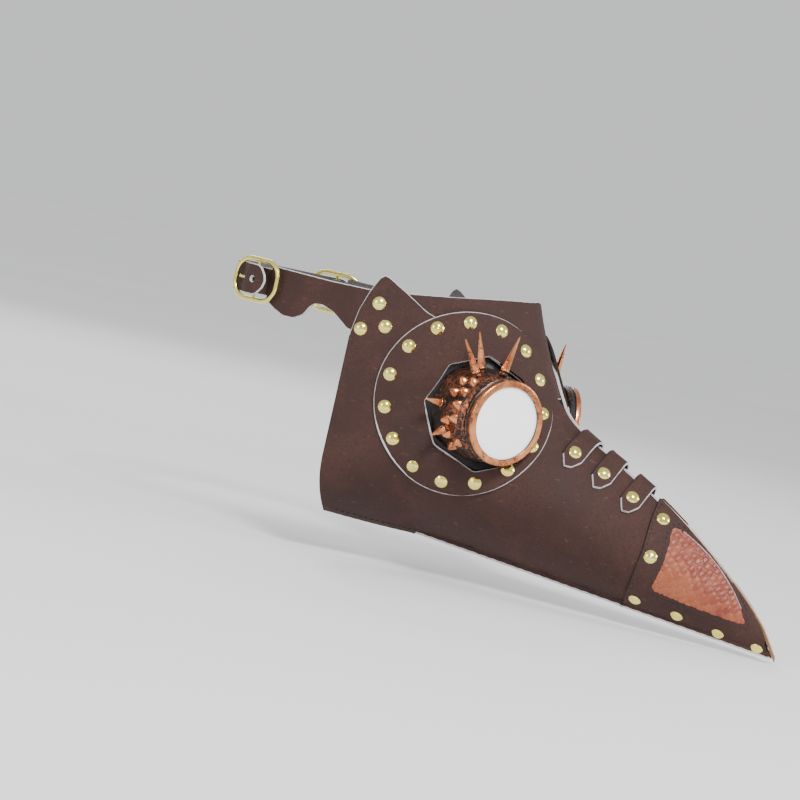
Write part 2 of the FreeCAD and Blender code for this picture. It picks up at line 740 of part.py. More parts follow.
flange = Part.makeCylinder(size("flange_radius"), 90.0, Vector(-5.0, 0, -70.0))
flange = flange.cut(Part.makeCylinder(size("neck_bore"), 100.0, Vector(0, 0, -75.0)))
flange.Placement = goggle_axes(-1)
flange = flange_trim.common(flange)
eyecup = tube_trim.common(GOGGLE["tube"]).fuse(flange)
pair("eyecup", eyecup)

sleeve = GOGGLE["sleeve"].common(eye_hole(-1, 1.2)).common(sleeve_trim)
for back, turns in STUD_ROWS:
    for turn in turns:
        sleeve = sleeve.fuse(stud(turn, back))
pair("vent_sleeve", sleeve)
pair("spikes", Part.makeCompound([spike(*place) for place in SPIKES]))

for label, side in SIDES:
    turned("bezel_" + label, side, BEZEL)
    turned("lens_seal_" + label, side, SEAL)
    lens(side, "lens_" + label)


# ---------------------------------------------------------------- straps and buckles
def buckle_axes(side):
    """Placement at a buckle's centre bar: X towards the face, Y up, Z away from the head."""
    lean = math.radians(size("buckle_turn"))
    foot = on_leather(size("buckle_forward"), size("strap_level"), BAR_OFFSET)
    ahead = Vector(-math.sin(lean), -math.cos(lean), 0)
    away = Vector(-math.cos(lean), math.sin(lean), 0)
    if side > 0:
        foot = Vector(-foot.x, foot.y, foot.z)
        ahead = Vector(math.sin(lean), -math.cos(lean), 0) * -1
        away = Vector(math.cos(lean), math.sin(lean), 0)
    matrix = FreeCAD.Matrix(ahead.x, 0, away.x, foot.x, ahead.y, 0, away.y, foot.y,
                            ahead.z, 1, away.z, foot.z, 0, 0, 0, 1)
    return FreeCAD.Placement(matrix)


BAR_OFFSET = 3.4        # height of the buckle's centre bar over the leather line
FRAME_ROUNDING = 1.1


def round_loop(sketch, first, length, width, corner):
    """Rounded rectangle about the sketch's origin; returns its straight sides' numbers."""
    x = length / 2
    y = width / 2
    r = corner
    lines = [((-x + r, -y), (x - r, -y)), ((x, -y + r), (x, y - r)),
             ((x - r, y), (-x + r, y)), ((-x, y - r), (-x, -y + r))]
    centres = [(x - r, -y + r), (x - r, y - r), (-x + r, y - r), (-x + r, -y + r)]
    for i in range(4):
        a, b = lines[i]
        sketch.addGeometry(Part.LineSegment(Vector(a[0], a[1], 0), Vector(b[0], b[1], 0)), False)
        start = math.radians(-90 + 90 * i)
        circle = Part.Circle(Vector(centres[i][0], centres[i][1], 0), Vector(0, 0, 1), r)
        sketch.addGeometry(Part.ArcOfCircle(circle, start, start + math.pi / 2), False)
    for i in range(4):
        line = first + 2 * i
        arc = line + 1
        after = first + 2 * ((i + 1) % 4)
        sketch.addConstraint(Sketcher.Constraint("Tangent", line, 2, arc, 1))
        sketch.addConstraint(Sketcher.Constraint("Tangent", arc, 2, after, 1))
    for i in (0, 2):
        sketch.addConstraint(Sketcher.Constraint("Horizontal", first + 2 * i))
    for i in (1, 3):
        sketch.addConstraint(Sketcher.Constraint("Vertical", first + 2 * i))
    for i in (3, 5, 7):
        sketch.addConstraint(Sketcher.Constraint("Equal", first + 1, first + i))
    return first


def loop_sizes(sketch, first, length, width, corner, values):
    """Bind a rounded rectangle's half sizes and corner radius to the sheet."""
    x, y, r = values
    for kind, at, text, number in (
            ("DistanceX", first + 2, length + " / 2", x / 2),
            ("DistanceY", first + 4, width + " / 2", y / 2),
            ("DistanceX", first + 6, "0 - " + length + " / 2", -x / 2),
            ("DistanceY", first, "0 - " + width + " / 2", -y / 2)):
        made = sketch.addConstraint(Sketcher.Constraint(kind, -1, 1, at, 1, number))
        sketch.setExpression("Constraints[%d]" % made, text)
    made = sketch.addConstraint(Sketcher.Constraint("Radius", first + 1, r))
    sketch.setExpression("Constraints[%d]" % made, corner)


def buckle_frame(side, name):
    """Oval frame padded from a ring sketch, rounded, with its centre bar added."""
    body = doc.addObject("PartDesign::Body", name)
    body.Label = name
    plane = [f for f in body.Origin.OriginFeatures if f.Role == "XY_Plane"][0]
    sketch = body.newObject("Sketcher::SketchObject", name + "_ring")
    sketch.AttachmentSupport = [(plane, "")]
    sketch.MapMode = "FlatFace"
    bar = size("buckle_bar")
    outer = (size("buckle_length"), size("buckle_width"), size("buckle_corner"))
    inner = (outer[0] - 2 * bar, outer[1] - 2 * bar, outer[2] - bar)
    round_loop(sketch, 0, *outer)
    loop_sizes(sketch, 0, "Sizes.buckle_length", "Sizes.buckle_width", "Sizes.buckle_corner",
               outer)
    round_loop(sketch, 8, *inner)
    loop_sizes(sketch, 8, "(Sizes.buckle_length - 2 * Sizes.buckle_bar)",
               "(Sizes.buckle_width - 2 * Sizes.buckle_bar)",
               "Sizes.buckle_corner - Sizes.buckle_bar", inner)
    pad = body.newObject("PartDesign::Pad", name + "_pad")
    pad.Profile = sketch
    pad.Midplane = True
    pad.setExpression("Length", "Sizes.buckle_thick")
    doc.recompute()
    rounding = body.newObject("PartDesign::Fillet", name + "_rounding")
    edges = []
    for i, edge in enumerate(pad.Shape.Edges, start=1):
        level = [v.Z for v in edge.Vertexes]
        if max(level) - min(level) < 1e-6:
            edges.append("Edge%d" % i)
    rounding.Base = (pad, edges)
    rounding.Radius = FRAME_ROUNDING
    rod_sketch = body.newObject("Sketcher::SketchObject", name + "_rod_outline")
    plane = [f for f in body.Origin.OriginFeatures if f.Role == "XZ_Plane"][0]
    rod_sketch.AttachmentSupport = [(plane, "")]
    rod_sketch.MapMode = "FlatFace"
    rod_sketch.addGeometry(Part.Circle(Vector(0, 0, 0), Vector(0, 0, 1), size("bar_radius")),
                           False)
    rod_sketch.addConstraint(Sketcher.Constraint("Coincident", 0, 3, -1, 1))
    made = rod_sketch.addConstraint(Sketcher.Constraint("Radius", 0, size("bar_radius")))
    rod_sketch.setExpression("Constraints[%d]" % made, "Sizes.bar_radius")
    rod = body.newObject("PartDesign::Pad", name + "_rod")
    rod.Profile = rod_sketch
    rod.Midplane = True
    rod.setExpression("Length", "Sizes.buckle_width - Sizes.buckle_bar")
    body.Placement = buckle_axes(side)
    return body


def ribbon(points, thick, low, high):
    """Strap standing on edge: a curve through plan points, thickened and carried up."""
    middle = Part.BSplineCurve()
    middle.interpolate([Vector(x, y, 0) for x, y in points])
    start, stop = middle.FirstParameter, middle.LastParameter
    outer = []
    inner = []
    count = 10 * (len(points) - 1)
    for i in range(count + 1):
        at = start + (stop - start) * i / count
        spot = middle.value(at)
        tangent = middle.tangent(at)[0]
        normal = Vector(-tangent.y, tangent.x, 0) * (thick / 2)
        outer.append(spot + normal)
        inner.append(spot - normal)
    edges = []
    for side in (outer, inner):
        curve = Part.BSplineCurve()
        curve.interpolate(side)
        edges.append(curve.toShape())
    edges.append(Part.makeLine(outer[0], inner[0]))
    edges.append(Part.makeLine(outer[-1], inner[-1]))
    face = Part.Face(Part.Wire(Part.__sortEdges__(edges)))
    face.translate(Vector(0, 0, low))
    return face.extrude(Vector(0, 0, high - low))


STRAP_LOW = size("strap_level") - size("strap_width") / 2
STRAP_HIGH = size("strap_level") + size("strap_width") / 2
right_buckle = buckle_axes(-1)


def plan(ahead, away):
    """Plan point from a place in the right buckle's own axes."""
    spot = right_buckle.multVec(Vector(ahead, 0, away))
    return (spot.x, spot.y)


# The strap's tip lies in the front window; it passes over the centre bar's leather loop,
# dives through the frame, leaves under the rear bar and goes round the head.
TIP = [(12.0, 4.9), (6.0, 5.6), (0.0, 5.5), (-5.5, 3.6), (-10.5, -0.8), (-15.5, -4.4),
       (-21.5, -6.2)]
NAPE = [(52.5, 99.0), (40.5, 104.3), (27.5, 107.6), (13.8, 109.4)]
right_run = [plan(*place) for place in TIP] + [(-x, y) for x, y in NAPE]
left_run = [(-x, y) for x, y in reversed(right_run)]
strap = ribbon(right_run + [(0.0, 110.0)] + left_run, size("strap_leather"), STRAP_LOW,
               STRAP_HIGH)
PRONG_HOLE = 1.9
TIP_RADIUS = 12.4       # the strap's tip is rounded about the centre bar
hole = Part.makeCylinder(PRONG_HOLE, 14.0, Vector(-17.0, 0, 0), Vector(1, 0, 0))
beside_bar = Part.makeBox(2.2, 40, 20, Vector(-2.1, -20, 0.5))
rounded_tip = Part.makeCylinder(TIP_RADIUS, 20, Vector(0, 0, 0.5)).fuse(beside_bar)
tip_cutter = Part.makeBox(30, 40, 20, Vector(-2, -20, 0.5)).cut(rounded_tip)
for label, side in SIDES:
    for tool in (hole, tip_cutter):
        cut = tool.copy()
        cut.Placement = right_buckle
        strap = strap.cut(cut if side < 0 else mirrored(cut))
add("rear_strap", strap)

# Leather loop round the centre bar, its tail lying behind the end of the brow band.
LOOP_HALF = 9.5
PRONG_SLOT = 2.4


def buckle_loop():
    wall = size("strap_leather")
    bore = size("bar_radius") + 0.3
    ring_outer = Part.makeCylinder(bore + wall, 2 * LOOP_HALF, Vector(0, -LOOP_HALF, 0),
                                   Vector(0, 1, 0))
    hollow = Part.makeCylinder(bore, 2 * LOOP_HALF, Vector(0, -LOOP_HALF, 0), Vector(0, 1, 0))
    tail_run = [plan(0.0, -bore - wall / 2), plan(2.5, -bore - wall / 2 - 0.6),
                plan(6.0, -bore - wall / 2 - 3.6)]
    for forward in (-60.0, -50.0, -40.0):
        spot = on_leather(forward, size("strap_level"), -2 * STEP + wall / 2 - 0.3)
        tail_run.append((spot.x, spot.y))
    tail = ribbon(tail_run, wall, size("strap_level") - LOOP_HALF, size("strap_level")
                  + LOOP_HALF)
    ring_outer.Placement = right_buckle
    hollow.Placement = right_buckle
    slot = Part.makeBox(9.5, 2 * PRONG_SLOT, 12.0, Vector(-6.0, -PRONG_SLOT, -6.0))
    slot.Placement = right_buckle
    return ring_outer.fuse(tail).cut(hollow).cut(slot)


pair("buckle_loop", buckle_loop())


def prong(side, name):
    """Straight pin with an eye round the centre bar."""
    eye = doc.addObject("Part::Cylinder", name + "_eye")
    eye.setExpression("Radius", "Sizes.bar_radius + 1.35")
    eye.Height = 3.6
    eye.Placement = FreeCAD.Placement(Vector(0, 1.8, 0), FreeCAD.Rotation(Vector(1, 0, 0), 90))
    pin = doc.addObject("Part::Cylinder", name + "_pin")
    pin.setExpression("Radius", "Sizes.prong_radius")
    pin.setExpression("Height", "Sizes.prong_reach")
    pin.Placement = FreeCAD.Placement(Vector(0, 0, 0), FreeCAD.Rotation(Vector(0, 1, 0),
                                                                         90 * side))
    whole = doc.addObject("Part::Fuse", name + "_whole")
    whole.Base = eye
    whole.Tool = pin
    bore = doc.addObject("Part::Cylinder", name + "_bore")
    bore.setExpression("Radius", "Sizes.bar_radius + 0.25")
    bore.Height = 8.0
    bore.Placement = FreeCAD.Placement(Vector(0, 4.0, 0), FreeCAD.Rotation(Vector(1, 0, 0), 90))
    made = doc.addObject("Part::Cut", name)
    made.Label = name
    made.Base = whole
    made.Tool = bore
    made.Placement = buckle_axes(side)
    return made


for label, side in SIDES:
    buckle_frame(side, "buckle_frame_" + label)
    prong(side, "buckle_prong_" + label)

# ---------------------------------------------------------------- checks and export
doc.recompute()
HELPERS = ("tube", "sleeve")
nodes = []
for item in doc.Objects:
    broken = [state for state in item.State if state in ("Invalid", "Error")]
    if broken:
        raise RuntimeError("%s is %s" % (item.Name, broken))
    kinds = ("Part::Feature", "PartDesign::Body", "Part::Common", "Part::Cut")
    if item.TypeId in kinds and item.Label not in HELPERS:
        nodes.append(item)
for item in nodes:
    if item.Shape.isNull() or not item.Shape.isValid():
        raise RuntimeError("%s has no valid shape" % item.Label)
    print("%-22s %8.0f mm3 %3d solids" % (item.Label, item.Shape.Volume, len(item.Shape.Solids)))
os.makedirs("parts", exist_ok=True)
for item in nodes:
    item.Shape.exportStep("parts/%s.step" % item.Label)
print(len(nodes), "nodes")
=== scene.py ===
import bmesh
import bpy
import math
import numpy as np
from mathutils import Matrix, Vector
from mathutils.geometry import delaunay_2d_cdt


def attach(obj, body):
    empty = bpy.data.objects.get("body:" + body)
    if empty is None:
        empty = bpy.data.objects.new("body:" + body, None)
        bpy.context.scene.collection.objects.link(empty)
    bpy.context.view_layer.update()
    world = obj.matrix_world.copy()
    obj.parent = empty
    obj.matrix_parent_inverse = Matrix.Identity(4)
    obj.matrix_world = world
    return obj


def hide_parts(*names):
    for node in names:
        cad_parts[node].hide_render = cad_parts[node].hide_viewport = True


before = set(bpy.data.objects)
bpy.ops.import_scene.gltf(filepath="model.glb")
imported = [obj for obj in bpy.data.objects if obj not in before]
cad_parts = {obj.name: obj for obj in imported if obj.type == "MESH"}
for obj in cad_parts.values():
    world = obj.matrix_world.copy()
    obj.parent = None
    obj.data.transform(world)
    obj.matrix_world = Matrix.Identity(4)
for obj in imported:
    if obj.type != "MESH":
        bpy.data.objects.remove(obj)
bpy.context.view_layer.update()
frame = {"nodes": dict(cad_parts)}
nodes = frame["nodes"]
ROOT = "mask"
MM = 0.001
rng = np.random.default_rng(7)

# ------------------------------------------------------------------ shape of the mask
# The leather follows the same surface as the CAD solids.  Millimetres: "forward" is the
# distance in front of the cheek panels' rear edges, level is the height over eye level.
HALF_WIDTH = 78.0
HEAD_DEPTH = 110.0
KEEL_REAR = 56.0
KEEL_LEVEL = -93.6
SEAM_HEIGHT = 5.0
CHIN_DROP = 32.0
CHIN_EASE = 5.0         # the chin's fold begins gradually over this length
FACE_RISE = 65.0
RIDGE_GAP = 3.0
LEATHER = 1.8
STEP = 2.1
FACE_POWER = 0.5
BEAK_POWER = 0.9
PLAN_POWER = 1.25
BELLY_POWER = 2.2
HEAD_POWER = 3.2
CAP_FORWARD = 213.0
PROFILE = [(-114.5, 322.0), (-93.7, 307.0), (-64.0, 272.6), (-34.9, 230.0), (-11.8, 185.2),
           (0.5, 158.0), (12.0, 142.0), (21.7, 134.4), (66.6, 110.7), (90.0, 101.0)]


def smooth(low, high, value):
    t = np.clip((np.asarray(value, float) - low) / (high - low), 0.0, 1.0)
    return t * t * (3 - 2 * t)


def monotone(points, value):
    """Monotone cubic through points sorted by their first coordinate."""
    xs = np.array([p[0] for p in points], float)
    ys = np.array([p[1] for p in points], float)
    slopes = np.diff(ys) / np.diff(xs)
    inner = []
    for a, b in zip(slopes, slopes[1:]):
        inner.append(2 * a * b / (a + b) if a * b > 0 else 0.0)
    tangents = np.array([slopes[0]] + inner + [slopes[-1]])
    value = np.asarray(value, float)
    i = np.clip(np.searchsorted(xs, value) - 1, 0, len(xs) - 2)
    width = xs[i + 1] - xs[i]
    t = (value - xs[i]) / width
    return ((1 + 2 * t) * (1 - t) ** 2 * ys[i] + t * (1 - t) ** 2 * width * tangents[i]
            + t * t * (3 - 2 * t) * ys[i + 1] + t * t * (t - 1) * width * tangents[i + 1])


def front(level):
    return monotone(PROFILE, level)


def ridge(forward):
    return monotone([(f, z) for z, f in reversed(PROFILE)], forward)


def keel(forward):
    forward = np.asarray(forward, float)
    slope = np.where(forward > KEEL_REAR, 0.0786, 0.1)
    return KEEL_LEVEL - slope * (forward - KEEL_REAR)


def half_width(forward, level):
    forward, level = np.broadcast_arrays(np.asarray(forward, float), np.asarray(level, float))
    back = np.clip(-forward / HEAD_DEPTH, 0.0, 1.0)
    behind_face = HALF_WIDTH * (1 - back ** HEAD_POWER) ** (1 / HEAD_POWER)
    reach = np.clip(forward / front(level), 0.0, 1.0)
    power = BEAK_POWER + (FACE_POWER - BEAK_POWER) * smooth(-30.0, 22.0, level)
    plan = (1 - reach ** PLAN_POWER) ** power
    chin = (np.hypot(KEEL_REAR - forward, CHIN_EASE) + KEEL_REAR - forward) / (2 * KEEL_REAR)
    base = keel(forward) + SEAM_HEIGHT - CHIN_DROP * chin ** 0.8
    tall = 0.62 * (ridge(np.maximum(forward, 110.0)) - keel(forward))
    rise = FACE_RISE + (tall - FACE_RISE) * smooth(110.0, 175.0, forward)
    climb = np.clip((level - base) / rise, 0.0, 1.0)
    folded = HALF_WIDTH * plan * (1 - (1 - climb) ** BELLY_POWER)
    return np.where(forward < 0, behind_face, folded)


def on_leather(forward, level, offset):
    """Points of the right-hand leather raised along its normal, as an (n, 3) array in mm."""
    forward, level, offset = np.broadcast_arrays(np.asarray(forward, float),
                                                 np.asarray(level, float),
                                                 np.asarray(offset, float))
    step = 0.05
    slope_f = (half_width(forward + step, level) - half_width(forward - step, level)) / (2 * step)
    slope_z = (half_width(forward, level + step) - half_width(forward, level - step)) / (2 * step)
    slope_f = np.maximum(slope_f, -6.0)
    slope_z = np.clip(slope_z, -3.0, 1.2)
    normal = np.stack([-np.ones_like(slope_f), slope_f, -slope_z], -1)
    normal /= np.linalg.norm(normal, axis=-1, keepdims=True)
    foot = np.stack([-half_width(forward, level), -forward, level], -1)
    return foot + normal * offset[..., None]


def edge_level(forward, gap):
    """Highest level at which the leather is still `gap` away from the mid plane."""
    low = float(keel(forward) + 0.6 * (ridge(forward) - keel(forward)))
    high = float(ridge(forward))
    if half_width(forward, low) <= gap:
        return low
    for _ in range(30):
        middle = (low + high) / 2
        if half_width(forward, middle) > gap:
            low = middle
        else:
            high = middle
    return low


# Table of the length along the leather from the rear edge, for every level: a flat pattern
# laid out in (length, level) keeps its sizes when it is bent round the face.
LEVELS = np.arange(-120.0, 92.0, 1.0)
STATIONS = np.linspace(0.0, 1.0, 500)
forward_table = np.outer(np.maximum(front(LEVELS), 60.0) - 0.02, STATIONS)
width_table = half_width(forward_table, LEVELS[:, None])
run = np.hypot(np.diff(forward_table, axis=1), np.diff(width_table, axis=1))
length_table = np.concatenate([np.zeros((len(LEVELS), 1)), np.cumsum(run, axis=1)], axis=1)


def between_levels(level):
    place = np.clip((level - LEVELS[0]) / (LEVELS[1] - LEVELS[0]), 0, len(LEVELS) - 1.001)
    low = place.astype(int)
    return low, place - low


def to_length(forward, level):
    """Pattern length of points given by forward distance and level."""
    forward = np.atleast_1d(np.asarray(forward, float))
    level = np.broadcast_to(np.asarray(level, float), forward.shape)
    low, share = between_levels(level)
    out = np.empty(len(forward))
    for i, f in enumerate(forward):
        if f <= 0:
            out[i] = f
            continue
        a = np.interp(f, forward_table[low[i]], length_table[low[i]])
        b = np.interp(f, forward_table[low[i] + 1], length_table[low[i] + 1])
        out[i] = a + (b - a) * share[i]
    return out


def to_forward(length, level):
    """Forward distance of points given by pattern length and level."""
    low, share = between_levels(level)
    out = np.empty(len(length))
    for i, s in enumerate(length):
        if s <= 0:
            out[i] = s
            continue
        a = np.interp(s, length_table[low[i]], forward_table[low[i]])
        b = np.interp(s, length_table[low[i] + 1], forward_table[low[i] + 1])
        out[i] = a + (b - a) * share[i]
    return out


def on_pattern(points, offset):
    """Flat pattern points (length, level) laid on the right-hand leather."""
    forward = to_forward(points[:, 0], points[:, 1])
    return on_leather(forward, points[:, 1], offset)


# ------------------------------------------------------------------ outlines
def pattern(outline):
    """Outline of (forward, level) points turned into pattern (length, level) points."""
    f = np.array([p[0] for p in outline], float)
    z = np.array([p[1] for p in outline], float)
    return np.stack([to_length(f, z), z], 1)


def signed_area(loop):
    x, y = loop[:, 0], loop[:, 1]
    return 0.5 * np.sum(x * np.roll(y, -1) - np.roll(x, -1) * y)


def turned_left(loop):
    """The loop in counter-clockwise order."""
    return loop if signed_area(loop) > 0 else loop[::-1]


def rounded(corners, radius):
    """Closed outline with each corner rounded by up to `radius`."""
    corners = np.asarray(corners, float)
    count = len(corners)
    radii = np.broadcast_to(radius, (count,))
    out = []
    for i in range(count):
        here = corners[i]
        before = corners[i - 1] - here
        after = corners[(i + 1) % count] - here
        len_a, len_b = np.linalg.norm(before), np.linalg.norm(after)
        before, after = before / len_a, after / len_b
        turn = math.acos(float(np.clip(np.dot(before, after), -1, 1)))
        cut = min(radii[i] / max(math.tan(turn / 2), 1e-3), 0.48 * len_a, 0.48 * len_b)
        start, stop = here + before * cut, here + after * cut
        for t in np.linspace(0, 1, 7):
            out.append((1 - t) ** 2 * start + 2 * t * (1 - t) * here + t * t * stop)
    return np.array(out)


def resampled(loop, spacing):
    """Closed loop with points an even distance apart."""
    closed = np.vstack([loop, loop[:1]])
    lengths = np.concatenate([[0], np.cumsum(np.linalg.norm(np.diff(closed, axis=0), axis=1))])
    count = max(int(lengths[-1] / spacing), 8)
    at = np.linspace(0, lengths[-1], count, endpoint=False)
    return np.stack([np.interp(at, lengths, closed[:, k]) for k in (0, 1)], 1)


def inward(loop, distance):
    """Loop moved to its left by a distance for each point (into a counter-clockwise loop)."""
    tangent = np.roll(loop, -1, axis=0) - np.roll(loop, 1, axis=0)
    tangent /= np.linalg.norm(tangent, axis=1, keepdims=True) + 1e-12
    normal = np.stack([-tangent[:, 1], tangent[:, 0]], 1)
    return loop + normal * np.asarray(distance).reshape(-1, 1)


def inside(points, loop):
    """Which points lie inside a closed loop."""
    x, y = points[:, 0], points[:, 1]
    result = np.zeros(len(points), bool)
    ax, ay = loop[:, 0], loop[:, 1]
    bx, by = np.roll(ax, -1), np.roll(ay, -1)
    for i in range(len(loop)):
        crosses = (ay[i] > y) != (by[i] > y)
        at = ax[i] + (y - ay[i]) * (bx[i] - ax[i]) / (by[i] - ay[i] + 1e-15)
        result ^= crosses & (x < at)
    return result


# ------------------------------------------------------------------ mesh helpers
def mesh_object(name, points, faces, materials, indices=None, flat=False):
    mesh = bpy.data.meshes.new(name)
    mesh.from_pydata([tuple(p) for p in np.asarray(points) * MM], [], faces)
    for material in materials:
        mesh.materials.append(material)
    if indices is not None:
        mesh.polygons.foreach_set("material_index", indices)
    mesh.polygons.foreach_set("use_smooth", [not flat] * len(mesh.polygons))
    mesh.update()
    piece = bpy.data.objects.new(name, mesh)
    bpy.context.scene.collection.objects.link(piece)
    return piece


def mirrored(points):
    points = np.array(points, float)
    points[:, 0] *= -1
    return points


CUT_EDGE = 0.55         # width of the pale chamfer along a cut edge


def sheet(name, loops, lay, low, high, materials, spacing=2.6, side=-1, edge=CUT_EDGE,
          rim=0.75, swell=None, wide=None, painted_shade=None):
    """Cut sheet of leather with thickness: grain outside, pale cut edges, cloth backing.

    loops: the outline and then any holes, in pattern coordinates; lay(points, offset) bends
    pattern points round the face; swell(points) lifts the grain side and the back alike;
    wide(points) multiplies the chamfer's width; where the edge-shade test holds, the cut edge takes
    the dark edge colour, a painted shade.
    """
    rings = [resampled(turned_left(loops[0]), spacing * 0.6)]
    for hole in loops[1:]:
        hole = turned_left(hole)[::-1]
        rings.append(resampled(hole, spacing * 0.6))
    inner_rings = []
    for ring in rings:
        ragged = 1 + 0.1 * np.sin(ring[:, 0] * 0.9 + 2 * np.sin(ring[:, 1] * 0.53))
        probe = inward(ring, 0.2)
        reach = np.linalg.norm(lay(probe, high) - lay(ring, high), axis=1) / 0.2
        width = edge * ragged / np.clip(reach, 1.0, 8.0)
        if wide is not None:
            width = width * wide(ring)
        inner_rings.append(inward(ring, width))
    lowest, highest = rings[0].min(0), rings[0].max(0)
    rows = np.arange(lowest[1], highest[1], spacing * 0.866)
    grid = []
    for k, y in enumerate(rows):
        xs = np.arange(lowest[0] + (k % 2) * spacing / 2, highest[0], spacing)
        grid.append(np.stack([xs, np.full(len(xs), y)], 1))
    grid = np.vstack(grid)
    keep = inside(grid, inner_rings[0])
    for ring in inner_rings[1:]:
        keep &= ~inside(grid, ring)
    grid = grid[keep]
    border = np.vstack(inner_rings)
    near = np.ones(len(grid), bool)
    for block in range(0, len(grid), 2000):
        part = grid[block:block + 2000]
        gap = np.min(np.linalg.norm(part[:, None] - border[None], axis=2), axis=1)
        near[block:block + 2000] = gap > spacing * 0.45
    grid = grid[near]
    flat_points = np.vstack([border, grid])
    edges = []
    start = 0
    for ring in inner_rings:
        count = len(ring)
        edges += [(start + i, start + (i + 1) % count) for i in range(count)]
        start += count
    result = delaunay_2d_cdt([Vector(p) for p in flat_points], edges, [], 0, 1e-5)
    spots = np.array([(v.x, v.y) for v in result[0]])
    faces = [tuple(f) for f in result[2]]
    middle = np.array([spots[list(f)].mean(0) for f in faces])
    keep = inside(middle, inner_rings[0])
    for ring in inner_rings[1:]:
        keep &= ~inside(middle, ring)
    faces = [f for f, k in zip(faces, keep) if k]
    origin = {}
    for new, olds in enumerate(result[3]):
        for old in olds:
            origin[old] = new
    count = len(spots)
    outer_points = np.vstack(rings)
    total = len(outer_points)

    def raised(points, offset):
        lift = swell(points) if swell is not None else 0.0
        return lay(points, offset + lift)

    top = raised(spots, high)
    bottom = raised(spots, low)
    rim_top = raised(outer_points, high - rim)
    rim_low = raised(outer_points, low)
    points = np.vstack([top, bottom, rim_top, rim_low])
    all_faces = []
    kinds = []
    for a, b, c in faces:
        all_faces.append((a, b, c))
        kinds.append(0)
        all_faces.append((count + c, count + b, count + a))
        kinds.append(2)
    start = 0
    for ring in inner_rings:
        size = len(ring)
        for i in range(size):
            a = start + i
            b = start + (i + 1) % size
            ta, tb = origin[a], origin[b]
            ra, rb = 2 * count + a, 2 * count + b
            la, lb = ra + total, rb + total
            all_faces.append((tb, ta, ra, rb))
            all_faces.append((rb, ra, la, lb))
            all_faces.append((lb, la, count + ta, count + tb))
            # Cut edges picked by the edge-shade test take the dark finish: painted shade on the
            # edge.
            dark = painted_shade is not None and bool(painted_shade(outer_points[a:a + 1])[0])
            kinds += [3, 3, 2] if dark else [1, 1, 2]
        start += size
    a, b, c = (points[i] for i in faces[0])
    faces_in = np.dot(np.cross(b - a, c - a), top[faces[0][0]] - bottom[faces[0][0]]) < 0
    if side > 0:
        points = mirrored(points)
        faces_in = not faces_in
    if faces_in:
        all_faces = [tuple(reversed(f)) for f in all_faces]
    piece = mesh_object(name, points, all_faces, materials, kinds)
    pattern_map = piece.data.uv_layers.new(name="pattern")
    flat_all = np.vstack([spots, spots, outer_points, outer_points]) * 0.01
    index = np.empty(len(piece.data.loops), int)
    piece.data.loops.foreach_get("vertex_index", index)
    pattern_map.data.foreach_set("uv", flat_all[index].ravel())
    sharpen(piece)
    return piece


def sharpen(piece):
    """Hard edges where the chamfer meets the faces, soft elsewhere."""
    mesh = piece.data
    kinds = {}
    for polygon in mesh.polygons:
        for key in polygon.edge_keys:
            kinds.setdefault(key, []).append(polygon)
    for e in mesh.edges:
        pair = kinds.get(tuple(sorted(e.vertices)), [])
        if len(pair) == 2:
            e.use_edge_sharp = pair[0].normal.dot(pair[1].normal) < 0.75


